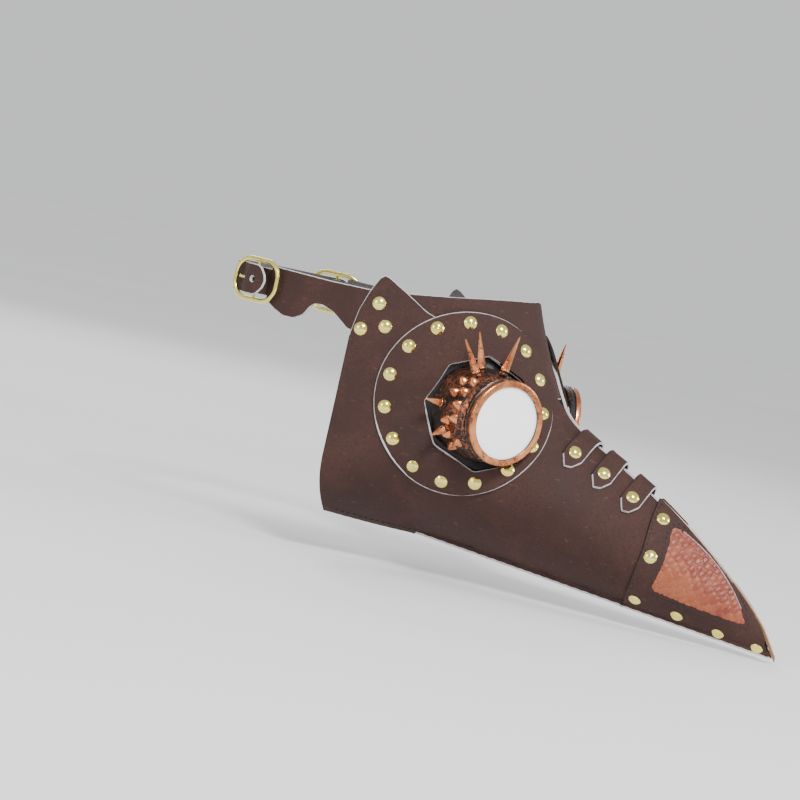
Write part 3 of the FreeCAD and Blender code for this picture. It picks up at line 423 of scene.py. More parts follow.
# ------------------------------------------------------------------ finishes
class Finish:
    """A procedural material: nodes are added and wired by short calls."""

    def __init__(self, name):
        self.material = bpy.data.materials.new(name)
        self.material.use_nodes = True
        self.tree = self.material.node_tree
        self.shader = self.tree.nodes["Principled BSDF"]
        self.place = self.add("ShaderNodeTexCoord").outputs["Object"]

    def add(self, kind, **settings):
        node = self.tree.nodes.new(kind)
        for key, value in settings.items():
            setattr(node, key, value)
        return node

    def link(self, source, target):
        self.tree.links.new(source, target)

    def stretched(self, scale, source=None):
        mapping = self.add("ShaderNodeMapping")
        mapping.inputs["Scale"].default_value = scale
        self.link(source or self.place, mapping.inputs["Vector"])
        return mapping.outputs["Vector"]

    def noise(self, scale, detail=4.0, rough=0.55, source=None, warp=0.0):
        node = self.add("ShaderNodeTexNoise")
        node.inputs["Scale"].default_value = scale
        node.inputs["Detail"].default_value = detail
        node.inputs["Roughness"].default_value = rough
        node.inputs["Distortion"].default_value = warp
        self.link(source or self.place, node.inputs["Vector"])
        return node.outputs["Fac"]

    def cells(self, scale, feature="F1", source=None):
        node = self.add("ShaderNodeTexVoronoi", feature=feature)
        node.inputs["Scale"].default_value = scale
        self.link(source or self.place, node.inputs["Vector"])
        return node.outputs["Distance"]

    def ramp(self, source, *stops):
        node = self.add("ShaderNodeValToRGB")
        while len(node.color_ramp.elements) < len(stops):
            node.color_ramp.elements.new(0.5)
        for element, (at, colour) in zip(node.color_ramp.elements, stops):
            element.position = at
            if isinstance(colour, (int, float)):
                colour = (colour,) * 3
            element.color = (*colour, 1.0)
        self.link(source, node.inputs["Fac"])
        return node.outputs["Color"]

    def mix(self, share, first, second, way="MIX"):
        node = self.add("ShaderNodeMix", data_type="RGBA", blend_type=way)
        for value, socket in ((share, node.inputs["Factor"]), (first, node.inputs["A"]),
                              (second, node.inputs["B"])):
            if isinstance(value, (int, float)):
                socket.default_value = value
            elif isinstance(value, tuple):
                socket.default_value = (*value, 1.0)
            else:
                self.link(value, socket)
        return node.outputs["Result"]

    def sum(self, first, second, share=1.0):
        node = self.add("ShaderNodeMath", operation="MULTIPLY_ADD")
        self.link(second, node.inputs[0])
        node.inputs[1].default_value = share
        self.link(first, node.inputs[2])
        return node.outputs["Value"]

    def bump(self, height, depth, before=None):
        """Bump whose depth is in metres."""
        node = self.add("ShaderNodeBump")
        node.inputs["Strength"].default_value = 1.0
        node.inputs["Distance"].default_value = depth
        self.link(height, node.inputs["Height"])
        if before is not None:
            self.link(before, node.inputs["Normal"])
        return node.outputs["Normal"]

    def set(self, **sockets):
        names = {"colour": "Base Color", "rough": "Roughness", "metal": "Metallic",
                 "normal": "Normal", "coat": "Coat Weight", "coat_rough": "Coat Roughness",
                 "specular": "Specular IOR Level", "sheen": "Sheen Weight",
                 "glow": "Emission Color", "glow_strength": "Emission Strength"}
        for key, value in sockets.items():
            socket = self.shader.inputs[names[key]]
            if isinstance(value, (int, float)):
                socket.default_value = value
            elif isinstance(value, tuple):
                socket.default_value = (*value, 1.0)
            else:
                self.link(value, socket)
        return self.material


def leather(name, dark, middle, light, rough=(0.5, 0.72), grain=0.00016, scuff=0.35):
    f = Finish(name)
    mottle = f.noise(26.0, 6.0, 0.62, warp=0.6)
    tone = f.ramp(mottle, (0.3, dark), (0.52, middle), (0.74, light))
    pores = f.noise(900.0, 3.0, 0.6)
    pebbles = f.cells(620.0, "SMOOTH_F1")
    creases = f.noise(75.0, 8.0, 0.7, source=f.stretched((1.0, 0.45, 1.6)), warp=1.5)
    tone = f.mix(f.ramp(pebbles, (0.2, 0.0), (0.75, 0.5)), tone, dark)
    rubbed = f.ramp(f.noise(130.0, 8.0, 0.75, warp=1.0), (0.6, 0.0), (0.78, scuff))
    tone = f.mix(rubbed, tone, tuple(min(c * 2.6 + 0.012, 1.0) for c in light))
    scratches = f.ramp(f.noise(150.0, 2.0, 0.4, source=f.stretched((0.18, 1.0, 3.2))),
                       (0.7, 0.0), (0.735, 0.5), (0.76, 0.0))
    tone = f.mix(scratches, tone, tuple(min(c * 2.2 + 0.01, 1.0) for c in light))
    height = f.sum(f.sum(pores, pebbles, -0.9), creases, 1.4)
    shine = f.ramp(f.sum(mottle, pores, 0.35), (0.35, rough[0]), (0.85, rough[1]))
    return f.set(colour=tone, rough=shine, normal=f.bump(height, grain), specular=0.3)


def raw_edge(name, dark, light):
    """Pale laminate core that shows where leather has been cut."""
    f = Finish(name)
    fibres = f.noise(420.0, 6.0, 0.7, source=f.stretched((1.0, 1.0, 2.5)), warp=0.8)
    dirt = f.noise(60.0, 5.0, 0.65)
    tone = f.ramp(f.sum(fibres, dirt, 0.8), (0.55, dark), (0.85, light))
    return f.set(colour=tone, rough=f.ramp(fibres, (0.3, 0.65), (0.7, 0.9)),
                 normal=f.bump(fibres, 0.0003))


def cloth(name, dark, light):
    f = Finish(name)
    weave = f.cells(950.0)
    wear = f.noise(40.0, 6.0, 0.6)
    tone = f.mix(f.ramp(weave, (0.1, 0.0), (0.8, 0.6)), f.ramp(wear, (0.3, dark), (0.7, light)),
                 dark)
    return f.set(colour=tone, rough=f.ramp(wear, (0.3, 0.8), (0.7, 0.95)),
                 normal=f.bump(weave, 0.0002), sheen=0.15)


def metal(name, dark, light, rough=(0.12, 0.34), scratch=0.00004, patina_and_dark_reflection=None, share=0.5):
    """Worn metal; the dark covering colour covers `share` of it: real patina, and on the worn
    copper also painted dark reflections.
    """
    f = Finish(name)
    cloud = f.noise(70.0, 6.0, 0.65, warp=0.7)
    tone = f.ramp(cloud, (0.3, dark), (0.65, light))
    lines = f.noise(900.0, 3.0, 0.6, source=f.stretched((1.0, 0.22, 0.6)), warp=0.3)
    shine = f.ramp(f.sum(cloud, lines, 0.5), (0.4, rough[0]), (0.95, rough[1]))
    metallic = 1.0
    if patina_and_dark_reflection is not None:
        spots = f.noise(240.0, 8.0, 0.7, warp=1.4)
        limit = 0.5 + 0.45 * share
        cover = f.ramp(f.sum(spots, cloud, 0.45), (limit - 0.06, 1.0), (limit + 0.06, 0.0))
        tone = f.mix(cover, tone, patina_and_dark_reflection)
        shine = f.mix(cover, shine, (0.5, 0.5, 0.5))
        metallic = f.ramp(cover, (0.0, 1.0), (1.0, 0.35))
    return f.set(colour=tone, rough=shine, metal=metallic, normal=f.bump(lines, scratch))


def plastic(name, dark, light, rough=(0.2, 0.45)):
    f = Finish(name)
    cloud = f.noise(55.0, 5.0, 0.6)
    dust = f.ramp(f.noise(700.0, 6.0, 0.8), (0.6, 0.0), (0.8, 0.25))
    tone = f.mix(dust, f.ramp(cloud, (0.3, dark), (0.7, light)), (0.16, 0.15, 0.14))
    return f.set(colour=tone, rough=f.ramp(cloud, (0.3, rough[0]), (0.75, rough[1])),
                 normal=f.bump(f.noise(500.0, 4.0, 0.6), 0.00003))


BROWN = leather("brown leather", (0.03, 0.0118, 0.0092), (0.048, 0.0195, 0.0152),
                (0.068, 0.029, 0.0225), rough=(0.58, 0.78), scuff=0.1)
# Dark edge colour: painted shade on the cut edges that lie on the shadow side.
PAINTED_EDGE_SHADE = leather("dyed leather edge", (0.012, 0.006, 0.005), (0.02, 0.01, 0.008),
               (0.03, 0.016, 0.013), rough=(0.6, 0.8))
BROWN_STRAP = leather("strap leather", (0.03, 0.012, 0.009), (0.047, 0.02, 0.015),
                      (0.066, 0.03, 0.023), rough=(0.5, 0.68), scuff=0.14)
EDGE = raw_edge("cut leather edge", (0.13, 0.11, 0.105), (0.6, 0.57, 0.58))
# Light tan leather for the ridge strip: a painted highlight on the beak's rounded ridge.
RIDGE_HIGHLIGHT_LEATHER = leather("tan leather", (0.2, 0.1, 0.05), (0.34, 0.18, 0.095), (0.5, 0.3, 0.17),
              rough=(0.5, 0.7))
TAN_EDGE = raw_edge("tan leather edge", (0.25, 0.15, 0.09), (0.6, 0.42, 0.28))
BACKING = cloth("cloth backing", (0.05, 0.045, 0.042), (0.12, 0.11, 0.1))
THREAD = cloth("waxed thread", (0.006, 0.005, 0.005), (0.03, 0.026, 0.022))
BRASS = metal("polished brass", (0.8, 0.68, 0.13), (1.0, 0.9, 0.28), rough=(0.1, 0.24),
              patina_and_dark_reflection=(0.3, 0.2, 0.05), share=0.12)
# The worn copper's dark spots are partly real patina and partly painted dark reflections on the
# bezel, spike and stud facets.
COPPER = metal("worn copper", (0.4, 0.105, 0.036), (0.8, 0.34, 0.155), rough=(0.12, 0.3),
               patina_and_dark_reflection=(0.06, 0.018, 0.009), share=0.3)
DARK_COPPER = metal("blackened copper", (0.2, 0.055, 0.022), (0.48, 0.17, 0.085),
                    rough=(0.22, 0.42), patina_and_dark_reflection=(0.012, 0.008, 0.007), share=0.62)
BLACK = plastic("black plastic", (0.006, 0.006, 0.007), (0.016, 0.016, 0.018))
RUBBER = plastic("seal rubber", (0.008, 0.008, 0.008), (0.02, 0.02, 0.02), rough=(0.5, 0.7))


def scaled_leather(name):
    """Reptile-embossed leather; the height and tone of each scale are stored on the mesh."""
    f = Finish(name)
    tone = f.add("ShaderNodeAttribute", attribute_name="scale_tone").outputs["Fac"]
    height = f.add("ShaderNodeAttribute", attribute_name="scale_height").outputs["Fac"]
    cloud = f.noise(45.0, 5.0, 0.6, warp=0.5)
    colour = f.ramp(f.sum(tone, cloud, 0.5), (0.3, (0.15, 0.022, 0.018)),
                    (0.65, (0.23, 0.048, 0.028)), (1.0, (0.33, 0.092, 0.042)))
    crease = f.ramp(tone, (0.2, (0.3, 0.085, 0.065)), (0.7, (0.55, 0.26, 0.16)))
    colour = f.mix(f.ramp(height, (0.12, 0.85), (0.38, 0.0)), colour, crease)
    pores = f.noise(1300.0, 4.0, 0.6)
    return f.set(colour=colour, rough=f.ramp(f.sum(cloud, pores, 0.4), (0.4, 0.26),
                                             (0.95, 0.5)),
                 normal=f.bump(pores, 0.00006), specular=0.32)


def milky(name):
    f = Finish(name)
    cloud = f.noise(30.0, 4.0, 0.5)
    specks = f.ramp(f.noise(1200.0, 4.0, 0.7), (0.62, 0.0), (0.75, 0.12))
    tone = f.mix(specks, f.ramp(cloud, (0.3, (0.92, 0.93, 0.94)), (0.7, (0.98, 0.98, 0.98))),
                 (0.5, 0.5, 0.48))
    # The emission below is a painted glow that keeps the lens blown-out white.
    return f.set(colour=tone, rough=f.ramp(cloud, (0.3, 0.06), (0.7, 0.14)), coat=0.8,
                 coat_rough=0.04, glow=(1.0, 1.0, 1.0), glow_strength=0.5,
                 normal=f.bump(cloud, 0.0002))


SCALES = scaled_leather("scaled leather")
MILKY_PAINTED_GLOW = milky("milky lens with painted glow")

# ------------------------------------------------------------------ leather pieces
SIDES = (("right", -1), ("left", 1))
PANEL_END = 296.0
TAB = [(2.5, 35.0), (5.0, 52.0), (9.5, 66.0), (14.0, 76.0), (17.0, 78.5), (20.5, 77.5),
       (34.0, 69.5), (48.0, 60.5), (60.0, 56.0), (112.0, 47.0), (125.0, 35.0), (134.6, 20.0)]
CAP_LAP = 24.0


def along(outline, place):
    return float(np.interp(place, [p[0] for p in outline], [p[1] for p in outline]))


def panel_outline():
    top = [(f, along(TAB, f)) for f in np.arange(20.5, 134.6, 4.0)]
    top = TAB[:6] + top[1:] + [TAB[-1]]
    for f in np.linspace(138.0, PANEL_END, 46):
        gap = RIDGE_GAP + 1.5 * float(smooth(CAP_FORWARD, CAP_FORWARD + CAP_LAP, f))
        top.append((f, edge_level(f, gap)))
    bottom = [(f, float(keel(f))) for f in np.linspace(PANEL_END, 2.5, 70)]
    return pattern(top + bottom)


EYE_SIDE, EYE_FORWARD, EYE_TURN, EYE_DIP = 66.5, 122.6, math.radians(36), math.radians(2)
GOGGLE_Z = np.array([-math.sin(EYE_TURN) * math.cos(EYE_DIP),
                     -math.cos(EYE_TURN) * math.cos(EYE_DIP), -math.sin(EYE_DIP)])
GOGGLE_X = np.cross([0.0, 0.0, 1.0], GOGGLE_Z)
GOGGLE_X /= np.linalg.norm(GOGGLE_X)
GOGGLE_Y = np.cross(GOGGLE_Z, GOGGLE_X)
GOGGLE_FOOT = np.array([-EYE_SIDE, -EYE_FORWARD, 0.0])


def on_goggle(points):
    """Points in the right goggle's own axes, in the mask's millimetres."""
    points = np.asarray(points, float)
    return (GOGGLE_FOOT + points[:, :1] * GOGGLE_X + points[:, 1:2] * GOGGLE_Y
            + points[:, 2:3] * GOGGLE_Z)


def eye_outline(grow=0.0):
    """The octagonal eye hole, projected along the goggle's axis on the leather."""
    corners = []
    for i in range(8):
        turn = math.radians(45 * i)
        reach = 38.5 + grow
        corners.append((reach * math.cos(turn) * 0.86, reach * math.sin(turn)))
    loop = resampled(rounded(corners, 2.0), 2.0)
    low = np.full(len(loop), -62.0)
    high = np.full(len(loop), 16.0)
    for _ in range(30):
        middle = (low + high) / 2
        spot = on_goggle(np.column_stack([loop, middle]))
        outside = -spot[:, 0] > half_width(-spot[:, 1], spot[:, 2])
        high = np.where(outside, middle, high)
        low = np.where(outside, low, middle)
    spot = on_goggle(np.column_stack([loop, low]))
    return pattern(list(zip(-spot[:, 1], spot[:, 2])))


def finish_piece(piece, slot, body, *nodes):
    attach(piece, body)
    if nodes:
        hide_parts(*nodes)
    return piece


LEATHERS = [BROWN, EDGE, BACKING, PAINTED_EDGE_SHADE]


def keel_wide(points):
    """The two plies' raw edges stand out along the keel."""
    forward = to_forward(points[:, 0], points[:, 1])
    near = np.abs(points[:, 1] - keel(forward)) < 0.8
    return np.where(near, 3.2, 1.0)


# Painted shade: the panel's rear cut edge below the brow is coloured dark.
def rear_painted_shade(points):
    return (points[:, 0] < 3.2) & (points[:, 1] < 34)


outline = panel_outline()
eye = eye_outline()
for label, side in SIDES:
    piece = sheet("leather_panel_" + label, [outline, eye], on_pattern, 0.0, LEATHER,
                  LEATHERS, side=side, wide=keel_wide, painted_shade=rear_painted_shade)
    finish_piece(piece, "brown_leather", ROOT, "cheek_panel_" + label)

# Round patches
PATCH = (float(to_length(85.0, 6.0)[0]), 6.0)


def ring_point(turn, radius):
    return (PATCH[0] + radius * math.cos(turn), PATCH[1] + radius * math.sin(turn))


def patch_turn(points):
    return np.degrees(np.arctan2(points[:, 1] - PATCH[1], points[:, 0] - PATCH[0]))


# Painted shade: the patch's cut edge is coloured dark along its upper front.
def patch_painted_shade(points):
    turn = patch_turn(points)
    return (turn > 8) & (turn < 62)


def patch_wide(points):
    """The cut slants more along the patch's lower rear."""
    turn = patch_turn(points)
    return 1 + 1.1 * smooth(-165, -145, turn) * smooth(-75, -95, turn)


outline = np.array([ring_point(t, 61.5) for t in np.linspace(0, 2 * math.pi, 160)[:-1]])
for label, side in SIDES:
    piece = sheet("leather_patch_" + label, [outline, eye], on_pattern, STEP, STEP + LEATHER,
                  LEATHERS, side=side, wide=patch_wide, painted_shade=patch_painted_shade)
    finish_piece(piece, "brown_leather", ROOT, "eye_patch_" + label)

# Brow band: temple straps, forehead and nose tongue in one piece
STRAP_END = -66.0
BAND_TOP = [(STRAP_END, 67.5), (-20.0, 66.5), (16.0, 67.0), (60.0, 74.0), (110.0, 84.0)]
BAND_FOOT = [(STRAP_END, 43.5), (-58.0, 39.0), (-50.0, 35.5), (-41.0, 35.5), (-34.0, 39.5),
             (-31.0, 45.0), (-28.0, 48.3), (-22.0, 49.0), (-13.0, 46.0), (0.0, 37.0),
             (22.0, 38.0), (42.0, 50.0), (62.0, 52.0), (112.0, 47.0)]
TONGUE_HALF, TONGUE_TOP, TONGUE_END, BROW_SIDE = 17.0, 33.0, 21.7, 60.0


def brow_forward(across, level):
    reach = 1 - np.clip(np.abs(across) / HALF_WIDTH, 0, 1) ** (1 / FACE_POWER)
    return front(level) * reach ** (1 / PLAN_POWER)


def on_brow(points, offset):
    """Points (across, level) on the forehead; beyond its sides across stands for
    -BROW_SIDE less the distance back along the temple."""
    across, level = points[:, 0], points[:, 1]
    middle = np.clip(across, -BROW_SIDE, BROW_SIDE)
    step = 0.05
    ahead = brow_forward(middle + step, level) - brow_forward(middle - step, level)
    above = brow_forward(middle, level + step) - brow_forward(middle, level - step)
    away = np.stack([-ahead / (2 * step), -np.ones_like(level), -above / (2 * step)], -1)
    away /= np.linalg.norm(away, axis=1, keepdims=True)
    spot = np.stack([middle, -brow_forward(middle, level), level], -1)
    spot += away * np.broadcast_to(offset, level.shape)[:, None]
    beyond = np.abs(across) > BROW_SIDE
    if beyond.any():
        back = np.abs(across[beyond]) - BROW_SIDE
        start = brow_forward(BROW_SIDE, level[beyond])
        side = on_leather(start - back, level[beyond],
                          np.broadcast_to(offset, level.shape)[beyond])
        side[:, 0] *= -np.sign(across[beyond])
        spot[beyond] = side
    return spot


def brow_place(forward, level):
    """Across value of a point given by forward distance on the right-hand side."""
    start = float(brow_forward(BROW_SIDE, level))
    if forward < start:
        return -BROW_SIDE - (start - forward)
    reach = (forward / float(front(level))) ** PLAN_POWER
    return -HALF_WIDTH * max(1 - reach, 0.0) ** FACE_POWER


def band_outline():
    right = []
    for f in np.linspace(STRAP_END, 62.0, 70):
        z = along(BAND_FOOT, f)
        right.append((brow_place(f, z), z))
    foot = [p for p in right if p[0] < -TONGUE_TOP]
    for x in np.linspace(-TONGUE_TOP, -TONGUE_HALF, 9):
        foot.append((x, TONGUE_END + (47 - TONGUE_END) * float(
            smooth(TONGUE_HALF, TONGUE_TOP, -x))))
    foot.append((-TONGUE_HALF + 1.0, TONGUE_END))
    top = []
    for f in np.linspace(STRAP_END, 100.0, 60):
        z = along(BAND_TOP, f)
        top.append((brow_place(f, z), z))
    top = [p for p in top if p[0] < -8] + [(0.0, 83.6)]
    half = list(reversed(top)) + foot
    other = [(-x, z) for x, z in reversed(half)]
    return np.array(half + other[:-1])


piece = sheet("leather_brow_band", [band_outline()], on_brow, -STEP, LEATHER - STEP, LEATHERS)
finish_piece(piece, "brown_leather", ROOT, "brow_band")

# Beak cap, window and scaled inset
CAP_END = 318.5
CAP_EDGE = [(-110.0, 208.5), (-94.4, 213.5), (-80.8, 218.0), (-63.7, 220.5), (-42.6, 219.0),
            (-20.0, 218.5)]
WINDOW = [(234.4, -44.6), (232.6, -86.2), (297.8, -96.2)]
WINDOW_BULGE = 6.5


def cap_outline():
    top = []
    start = along(CAP_EDGE, -30.0)
    for f in np.linspace(start, CAP_END, 40):
        top.append((f, edge_level(f, 1.0)))
    bottom = [(f, float(keel(f))) for f in np.linspace(CAP_END, along(CAP_EDGE, -106.0), 40)]
    rear = [(along(CAP_EDGE, z), z) for z in np.linspace(float(keel(209.0)) + 3, top[0][1] - 3, 24)]
    return pattern(top + bottom + rear)


def window_outline(shrink=0.0):
    top, rear, tip = [np.array(p) for p in WINDOW]
    line = tip - top
    across = np.array([-line[1], line[0]]) / np.linalg.norm(line)
    bow = []
    for t in np.linspace(0.1, 0.9, 9):
        bow.append(tip - line * t + across * WINDOW_BULGE * 4 * t * (1 - t))
    corners = [top, rear, tip] + bow
    loop = rounded(corners, [3.5, 3.5, 3.5] + [2.0] * len(bow))
    loop = pattern([tuple(p) for p in loop])
    if shrink:
        loop = inward(resampled(turned_left(loop), 1.5), shrink)
    return loop


window = window_outline()
cap_edge = cap_outline()
ridge_line = pattern(WINDOW)


def cap_painted_shade(points):
    """Painted shade, a dark edge colour on the rear edge, the top, and the window except along its
    ridge side.
    """
    top, rear, tip = ridge_line
    line = (tip - top) / np.linalg.norm(tip - top)
    above = (points - top) @ np.array([-line[1], line[0]])
    span = (points - top) @ line
    ridge_side = (above > 1.5) & (above < WINDOW_BULGE + 1.5) & (span > 6) & (span < 76)
    forward = to_forward(points[:, 0], points[:, 1])
    low = np.abs(points[:, 1] - keel(forward)) < 0.8
    return ~(ridge_side | low)


for label, side in SIDES:
    piece = sheet("leather_cap_" + label, [cap_edge, window], on_pattern, STEP, STEP + LEATHER,
                  LEATHERS, side=side, spacing=2.2, wide=keel_wide, painted_shade=cap_painted_shade)
    finish_piece(piece, "brown_leather", ROOT, "beak_cap_" + label)

SCALE_SIZE = 4.6


def scale_cells(points):
    """Height, and a number for each scale, on a lattice of slanting rows."""
    turn = math.radians(-42)
    u = (points[:, 0] * math.cos(turn) + points[:, 1] * math.sin(turn)) / SCALE_SIZE
    v = (-points[:, 0] * math.sin(turn) + points[:, 1] * math.cos(turn)) / SCALE_SIZE
    v = v + 0.22 * np.sin(u * 0.7)
    best = np.full(len(points), 9.0)
    second = np.full(len(points), 9.0)
    name = np.zeros(len(points))
    for dv in (-1, 0, 1):
        row = np.floor(v) + dv
        for du in (-1, 0, 1):
            column = np.floor(u - 0.5 * (row % 2)) + du
            wobble = np.sin(row * 12.9 + column * 78.2) * 43758.5
            wobble = wobble - np.floor(wobble)
            other = np.sin(row * 39.3 + column * 11.1) * 24634.6
            other = other - np.floor(other)
            cu = column + 0.5 + 0.5 * (row % 2) + 0.26 * (wobble - 0.5)
            cv = row + 0.5 + 0.26 * (other - 0.5)
            gap = (np.abs(u - cu) ** 3 + np.abs(1.15 * (v - cv)) ** 3) ** (1 / 3)
            closer = gap < best
            second = np.where(closer, best, np.minimum(second, gap))
            name = np.where(closer, wobble, name)
            best = np.where(closer, gap, best)
    rise = np.clip((second - best) / 0.42, 0, 1)
    return np.sqrt(rise), name


def scale_swell(points):
    return 0.75 * scale_cells(points)[0] - 0.2


window_sheet = window_outline(-1.6)
for label, side in SIDES:
    piece = sheet("scaled_inset_" + label, [window_sheet], on_pattern, STEP - 0.4,
                  STEP + 1.0, [SCALES, TAN_EDGE, BACKING], side=side, spacing=0.75, edge=0.4,
                  rim=0.3, swell=scale_swell)
    flat = np.empty(len(piece.data.loops) * 2)
    piece.data.uv_layers["pattern"].data.foreach_get("uv", flat)
    index = np.empty(len(piece.data.loops), int)
    piece.data.loops.foreach_get("vertex_index", index)
    spots = np.zeros((len(piece.data.vertices), 2))
    spots[index] = flat.reshape(-1, 2) * 100
    rise, name = scale_cells(spots)
    low, high = spots.min(0), spots.max(0)
    share = (spots[:, 0] - low[0]) / (high[0] - low[0])
    climb = (spots[:, 1] - low[1]) / (high[1] - low[1])
    tone = np.clip(0.75 - 0.5 * climb - 0.35 * share + 0.3 * name, 0, 1)
    for title, values in (("scale_height", rise), ("scale_tone", tone)):
        layer = piece.data.attributes.new(title, "FLOAT", "POINT")
        layer.data.foreach_set("value", values)
    finish_piece(piece, "scaled_leather", ROOT, "scale_inset_" + label)

# Bridge straps
SHIELD = [(-7.6, 14.5), (-1.3, 21.0), (3.5, 19.0), (7.4, 13.0)]
SHIELD_LEAN = 0.2
SADDLE_RISE = 1.2


def shield_point(place, run, down):
    slope = (ridge(place + 4) - ridge(place - 4)) / 8
    length = np.hypot(1, slope)
    return (place + (run + down * slope) / length,
            ridge(place) + (run * slope - down) / length)


def on_ridge(place):
    """Lays (run along the ridge, depth down its right side) points across the ridge."""
    def lay(points, offset):
        run, down = points[:, 0], points[:, 1]
        offset = np.broadcast_to(offset, run.shape)
        deep = np.maximum(np.abs(down), RIDGE_GAP)
        f, z = shield_point(place, run + SHIELD_LEAN * deep, deep)
        side = on_leather(f, z, offset)
        f, z = shield_point(place, run, -SADDLE_RISE - offset)
        crest = np.stack([np.zeros_like(f), -f, z], -1)
        share = np.clip(np.abs(down) / RIDGE_GAP, 0, 1)[:, None]
        corner = crest.copy()
        corner[:, 0] = side[:, 0] * 0.75
        curve = (1 - share) ** 2 * crest + 2 * share * (1 - share) * corner + share ** 2 * side
        curve[:, 0] *= np.sign(down)
        return curve
    return lay


# Painted shade: the rear end of each strap's cut edge is coloured dark.
def shield_painted_shade(points):
    return points[:, 0] < -6.4


for number, place in enumerate((162.0, 183.5, 206.5), start=1):
    outline = SHIELD + [(run, -down) for run, down in reversed(SHIELD)]
    outline = rounded(outline, 1.0)
    piece = sheet("bridge_leather_%d" % number, [outline], on_ridge(place), STEP,
                  STEP + LEATHER, LEATHERS, spacing=1.5, edge=0.6, painted_shade=shield_painted_shade)
    finish_piece(piece, "brown_leather", ROOT, "bridge_strap_%d" % number)

# Light tan strip along the beak's ridge: a painted highlight where the ridge's rounding catches the
# top light
STRIP_TOP, STRIP_DEPTH, STRIP_HALF, STRIP_END = 1.5, 4.0, 1.2, 321.5


def on_strip(points, offset):
    f = points[:, 0]
    offset = np.broadcast_to(offset, f.shape)
    return np.stack([-offset, -f, ridge(f) + points[:, 1]], -1)


outline = [(f, STRIP_TOP) for f in np.linspace(CAP_FORWARD + 6, STRIP_END, 50)]
outline += [(f, STRIP_TOP - STRIP_DEPTH) for f, _ in reversed(outline)]
piece = sheet("ridge_highlight_strip", [np.array(outline)], on_strip, -STRIP_HALF, STRIP_HALF,
              [RIDGE_HIGHLIGHT_LEATHER, TAN_EDGE, RIDGE_HIGHLIGHT_LEATHER], spacing=1.1, edge=0.35, rim=0.35)
finish_piece(piece, "tan_leather", ROOT, "ridge_strip")

# ------------------------------------------------------------------ rear strap and loops
BUCKLE_FORWARD, STRAP_LEVEL, BAR_OFFSET = -74.0, 55.5, 3.4
BUCKLE_TURN = math.radians(17.0)
BAR = on_leather(np.array([BUCKLE_FORWARD]), np.array([STRAP_LEVEL]), np.array([BAR_OFFSET]))[0]
AHEAD = np.array([-math.sin(BUCKLE_TURN), -math.cos(BUCKLE_TURN)])
AWAY = np.array([-math.cos(BUCKLE_TURN), math.sin(BUCKLE_TURN)])


def plan(ahead, away):
    """Plan point from a place in the right buckle's own axes."""
    return BAR[:2] + AHEAD * ahead + AWAY * away


class Path:
    """Smooth plan curve through points, addressed by its length from the start."""

    def __init__(self, points):
        knots = np.array(points, float)
        at = np.concatenate([[0], np.cumsum(np.linalg.norm(np.diff(knots, axis=0), axis=1))])
        count = len(at)
        gap = np.diff(at)
        system = np.zeros((count, count))
        right = np.zeros((count, 2))
        system[0, 0] = system[-1, -1] = 1.0
        for i in range(1, count - 1):
            system[i, i - 1:i + 2] = gap[i - 1], 2 * (gap[i - 1] + gap[i]), gap[i]
            right[i] = 6 * ((knots[i + 1] - knots[i]) / gap[i]
                            - (knots[i] - knots[i - 1]) / gap[i - 1])
        bend = np.linalg.solve(system, right)
        fine = np.linspace(0, at[-1], 60 * (count - 1) + 1)
        i = np.clip(np.searchsorted(at, fine) - 1, 0, count - 2)
        h = gap[i][:, None]
        a = (at[i + 1] - fine)[:, None] / h
        b = 1 - a
        self.spots = (a * knots[i] + b * knots[i + 1]
                      + ((a ** 3 - a) * bend[i] + (b ** 3 - b) * bend[i + 1]) * h ** 2 / 6)
        steps = np.linalg.norm(np.diff(self.spots, axis=0), axis=1)
        self.at = np.concatenate([[0], np.cumsum(steps)])
        self.length = self.at[-1]
        heading = np.gradient(self.spots, axis=0)
        heading /= np.linalg.norm(heading, axis=1, keepdims=True)
        self.heading = heading

    def lay(self, points, offset):
        s = points[:, 0]
        x = np.interp(s, self.at, self.spots[:, 0])
        y = np.interp(s, self.at, self.spots[:, 1])
        tx = np.interp(s, self.at, self.heading[:, 0])
        ty = np.interp(s, self.at, self.heading[:, 1])
        offset = np.broadcast_to(offset, s.shape)
        return np.stack([x - ty * offset, y + tx * offset, points[:, 1]], -1)


TIP = [(12.0, 4.9), (6.0, 5.6), (0.0, 5.5), (-5.5, 3.6), (-10.5, -0.8), (-15.5, -4.4),
       (-21.5, -6.2)]
NAPE = [(52.5, 99.0), (40.5, 104.3), (27.5, 107.6), (13.8, 109.4)]
run = [plan(*place) for place in TIP] + [np.array((-x, y)) for x, y in NAPE]
run = run + [np.array((0.0, 110.0))] + [p * (-1, 1) for p in reversed(run)]
strap = Path(run)
HALF_STRAP = 10.5
tip = [(1.2, STRAP_LEVEL - 4.5), (0.0, STRAP_LEVEL), (1.2, STRAP_LEVEL + 4.5)]
corner = [(5.0, STRAP_LEVEL + HALF_STRAP - 1.2), (8.0, STRAP_LEVEL + HALF_STRAP)]
left_end = [(5.0, STRAP_LEVEL - HALF_STRAP + 1.2)] + tip + corner
left_end.insert(0, (8.0, STRAP_LEVEL - HALF_STRAP))
right_end = [(strap.length - s, z) for s, z in reversed(left_end)]
along_top = [(s, STRAP_LEVEL + HALF_STRAP) for s in np.linspace(12, strap.length - 12, 60)]
along_foot = [(s, STRAP_LEVEL - HALF_STRAP) for s, _ in reversed(along_top)]
outline = np.array(left_end + along_top + right_end + along_foot)
hole_place = float(np.interp(BAR[1], strap.spots[:200, 1], strap.at[:200]))
holes = []
for s in (hole_place, strap.length - hole_place):
    holes.append(np.array([(s + 1.9 * math.cos(t), STRAP_LEVEL + 1.9 * math.sin(t))
                           for t in np.linspace(0, 2 * math.pi, 20)[:-1]]))
piece = sheet("leather_rear_strap", [outline] + holes, strap.lay, -0.9, 0.9,
              [BROWN_STRAP, EDGE, BACKING], spacing=2.2)
finish_piece(piece, "brown_leather", ROOT, "rear_strap")

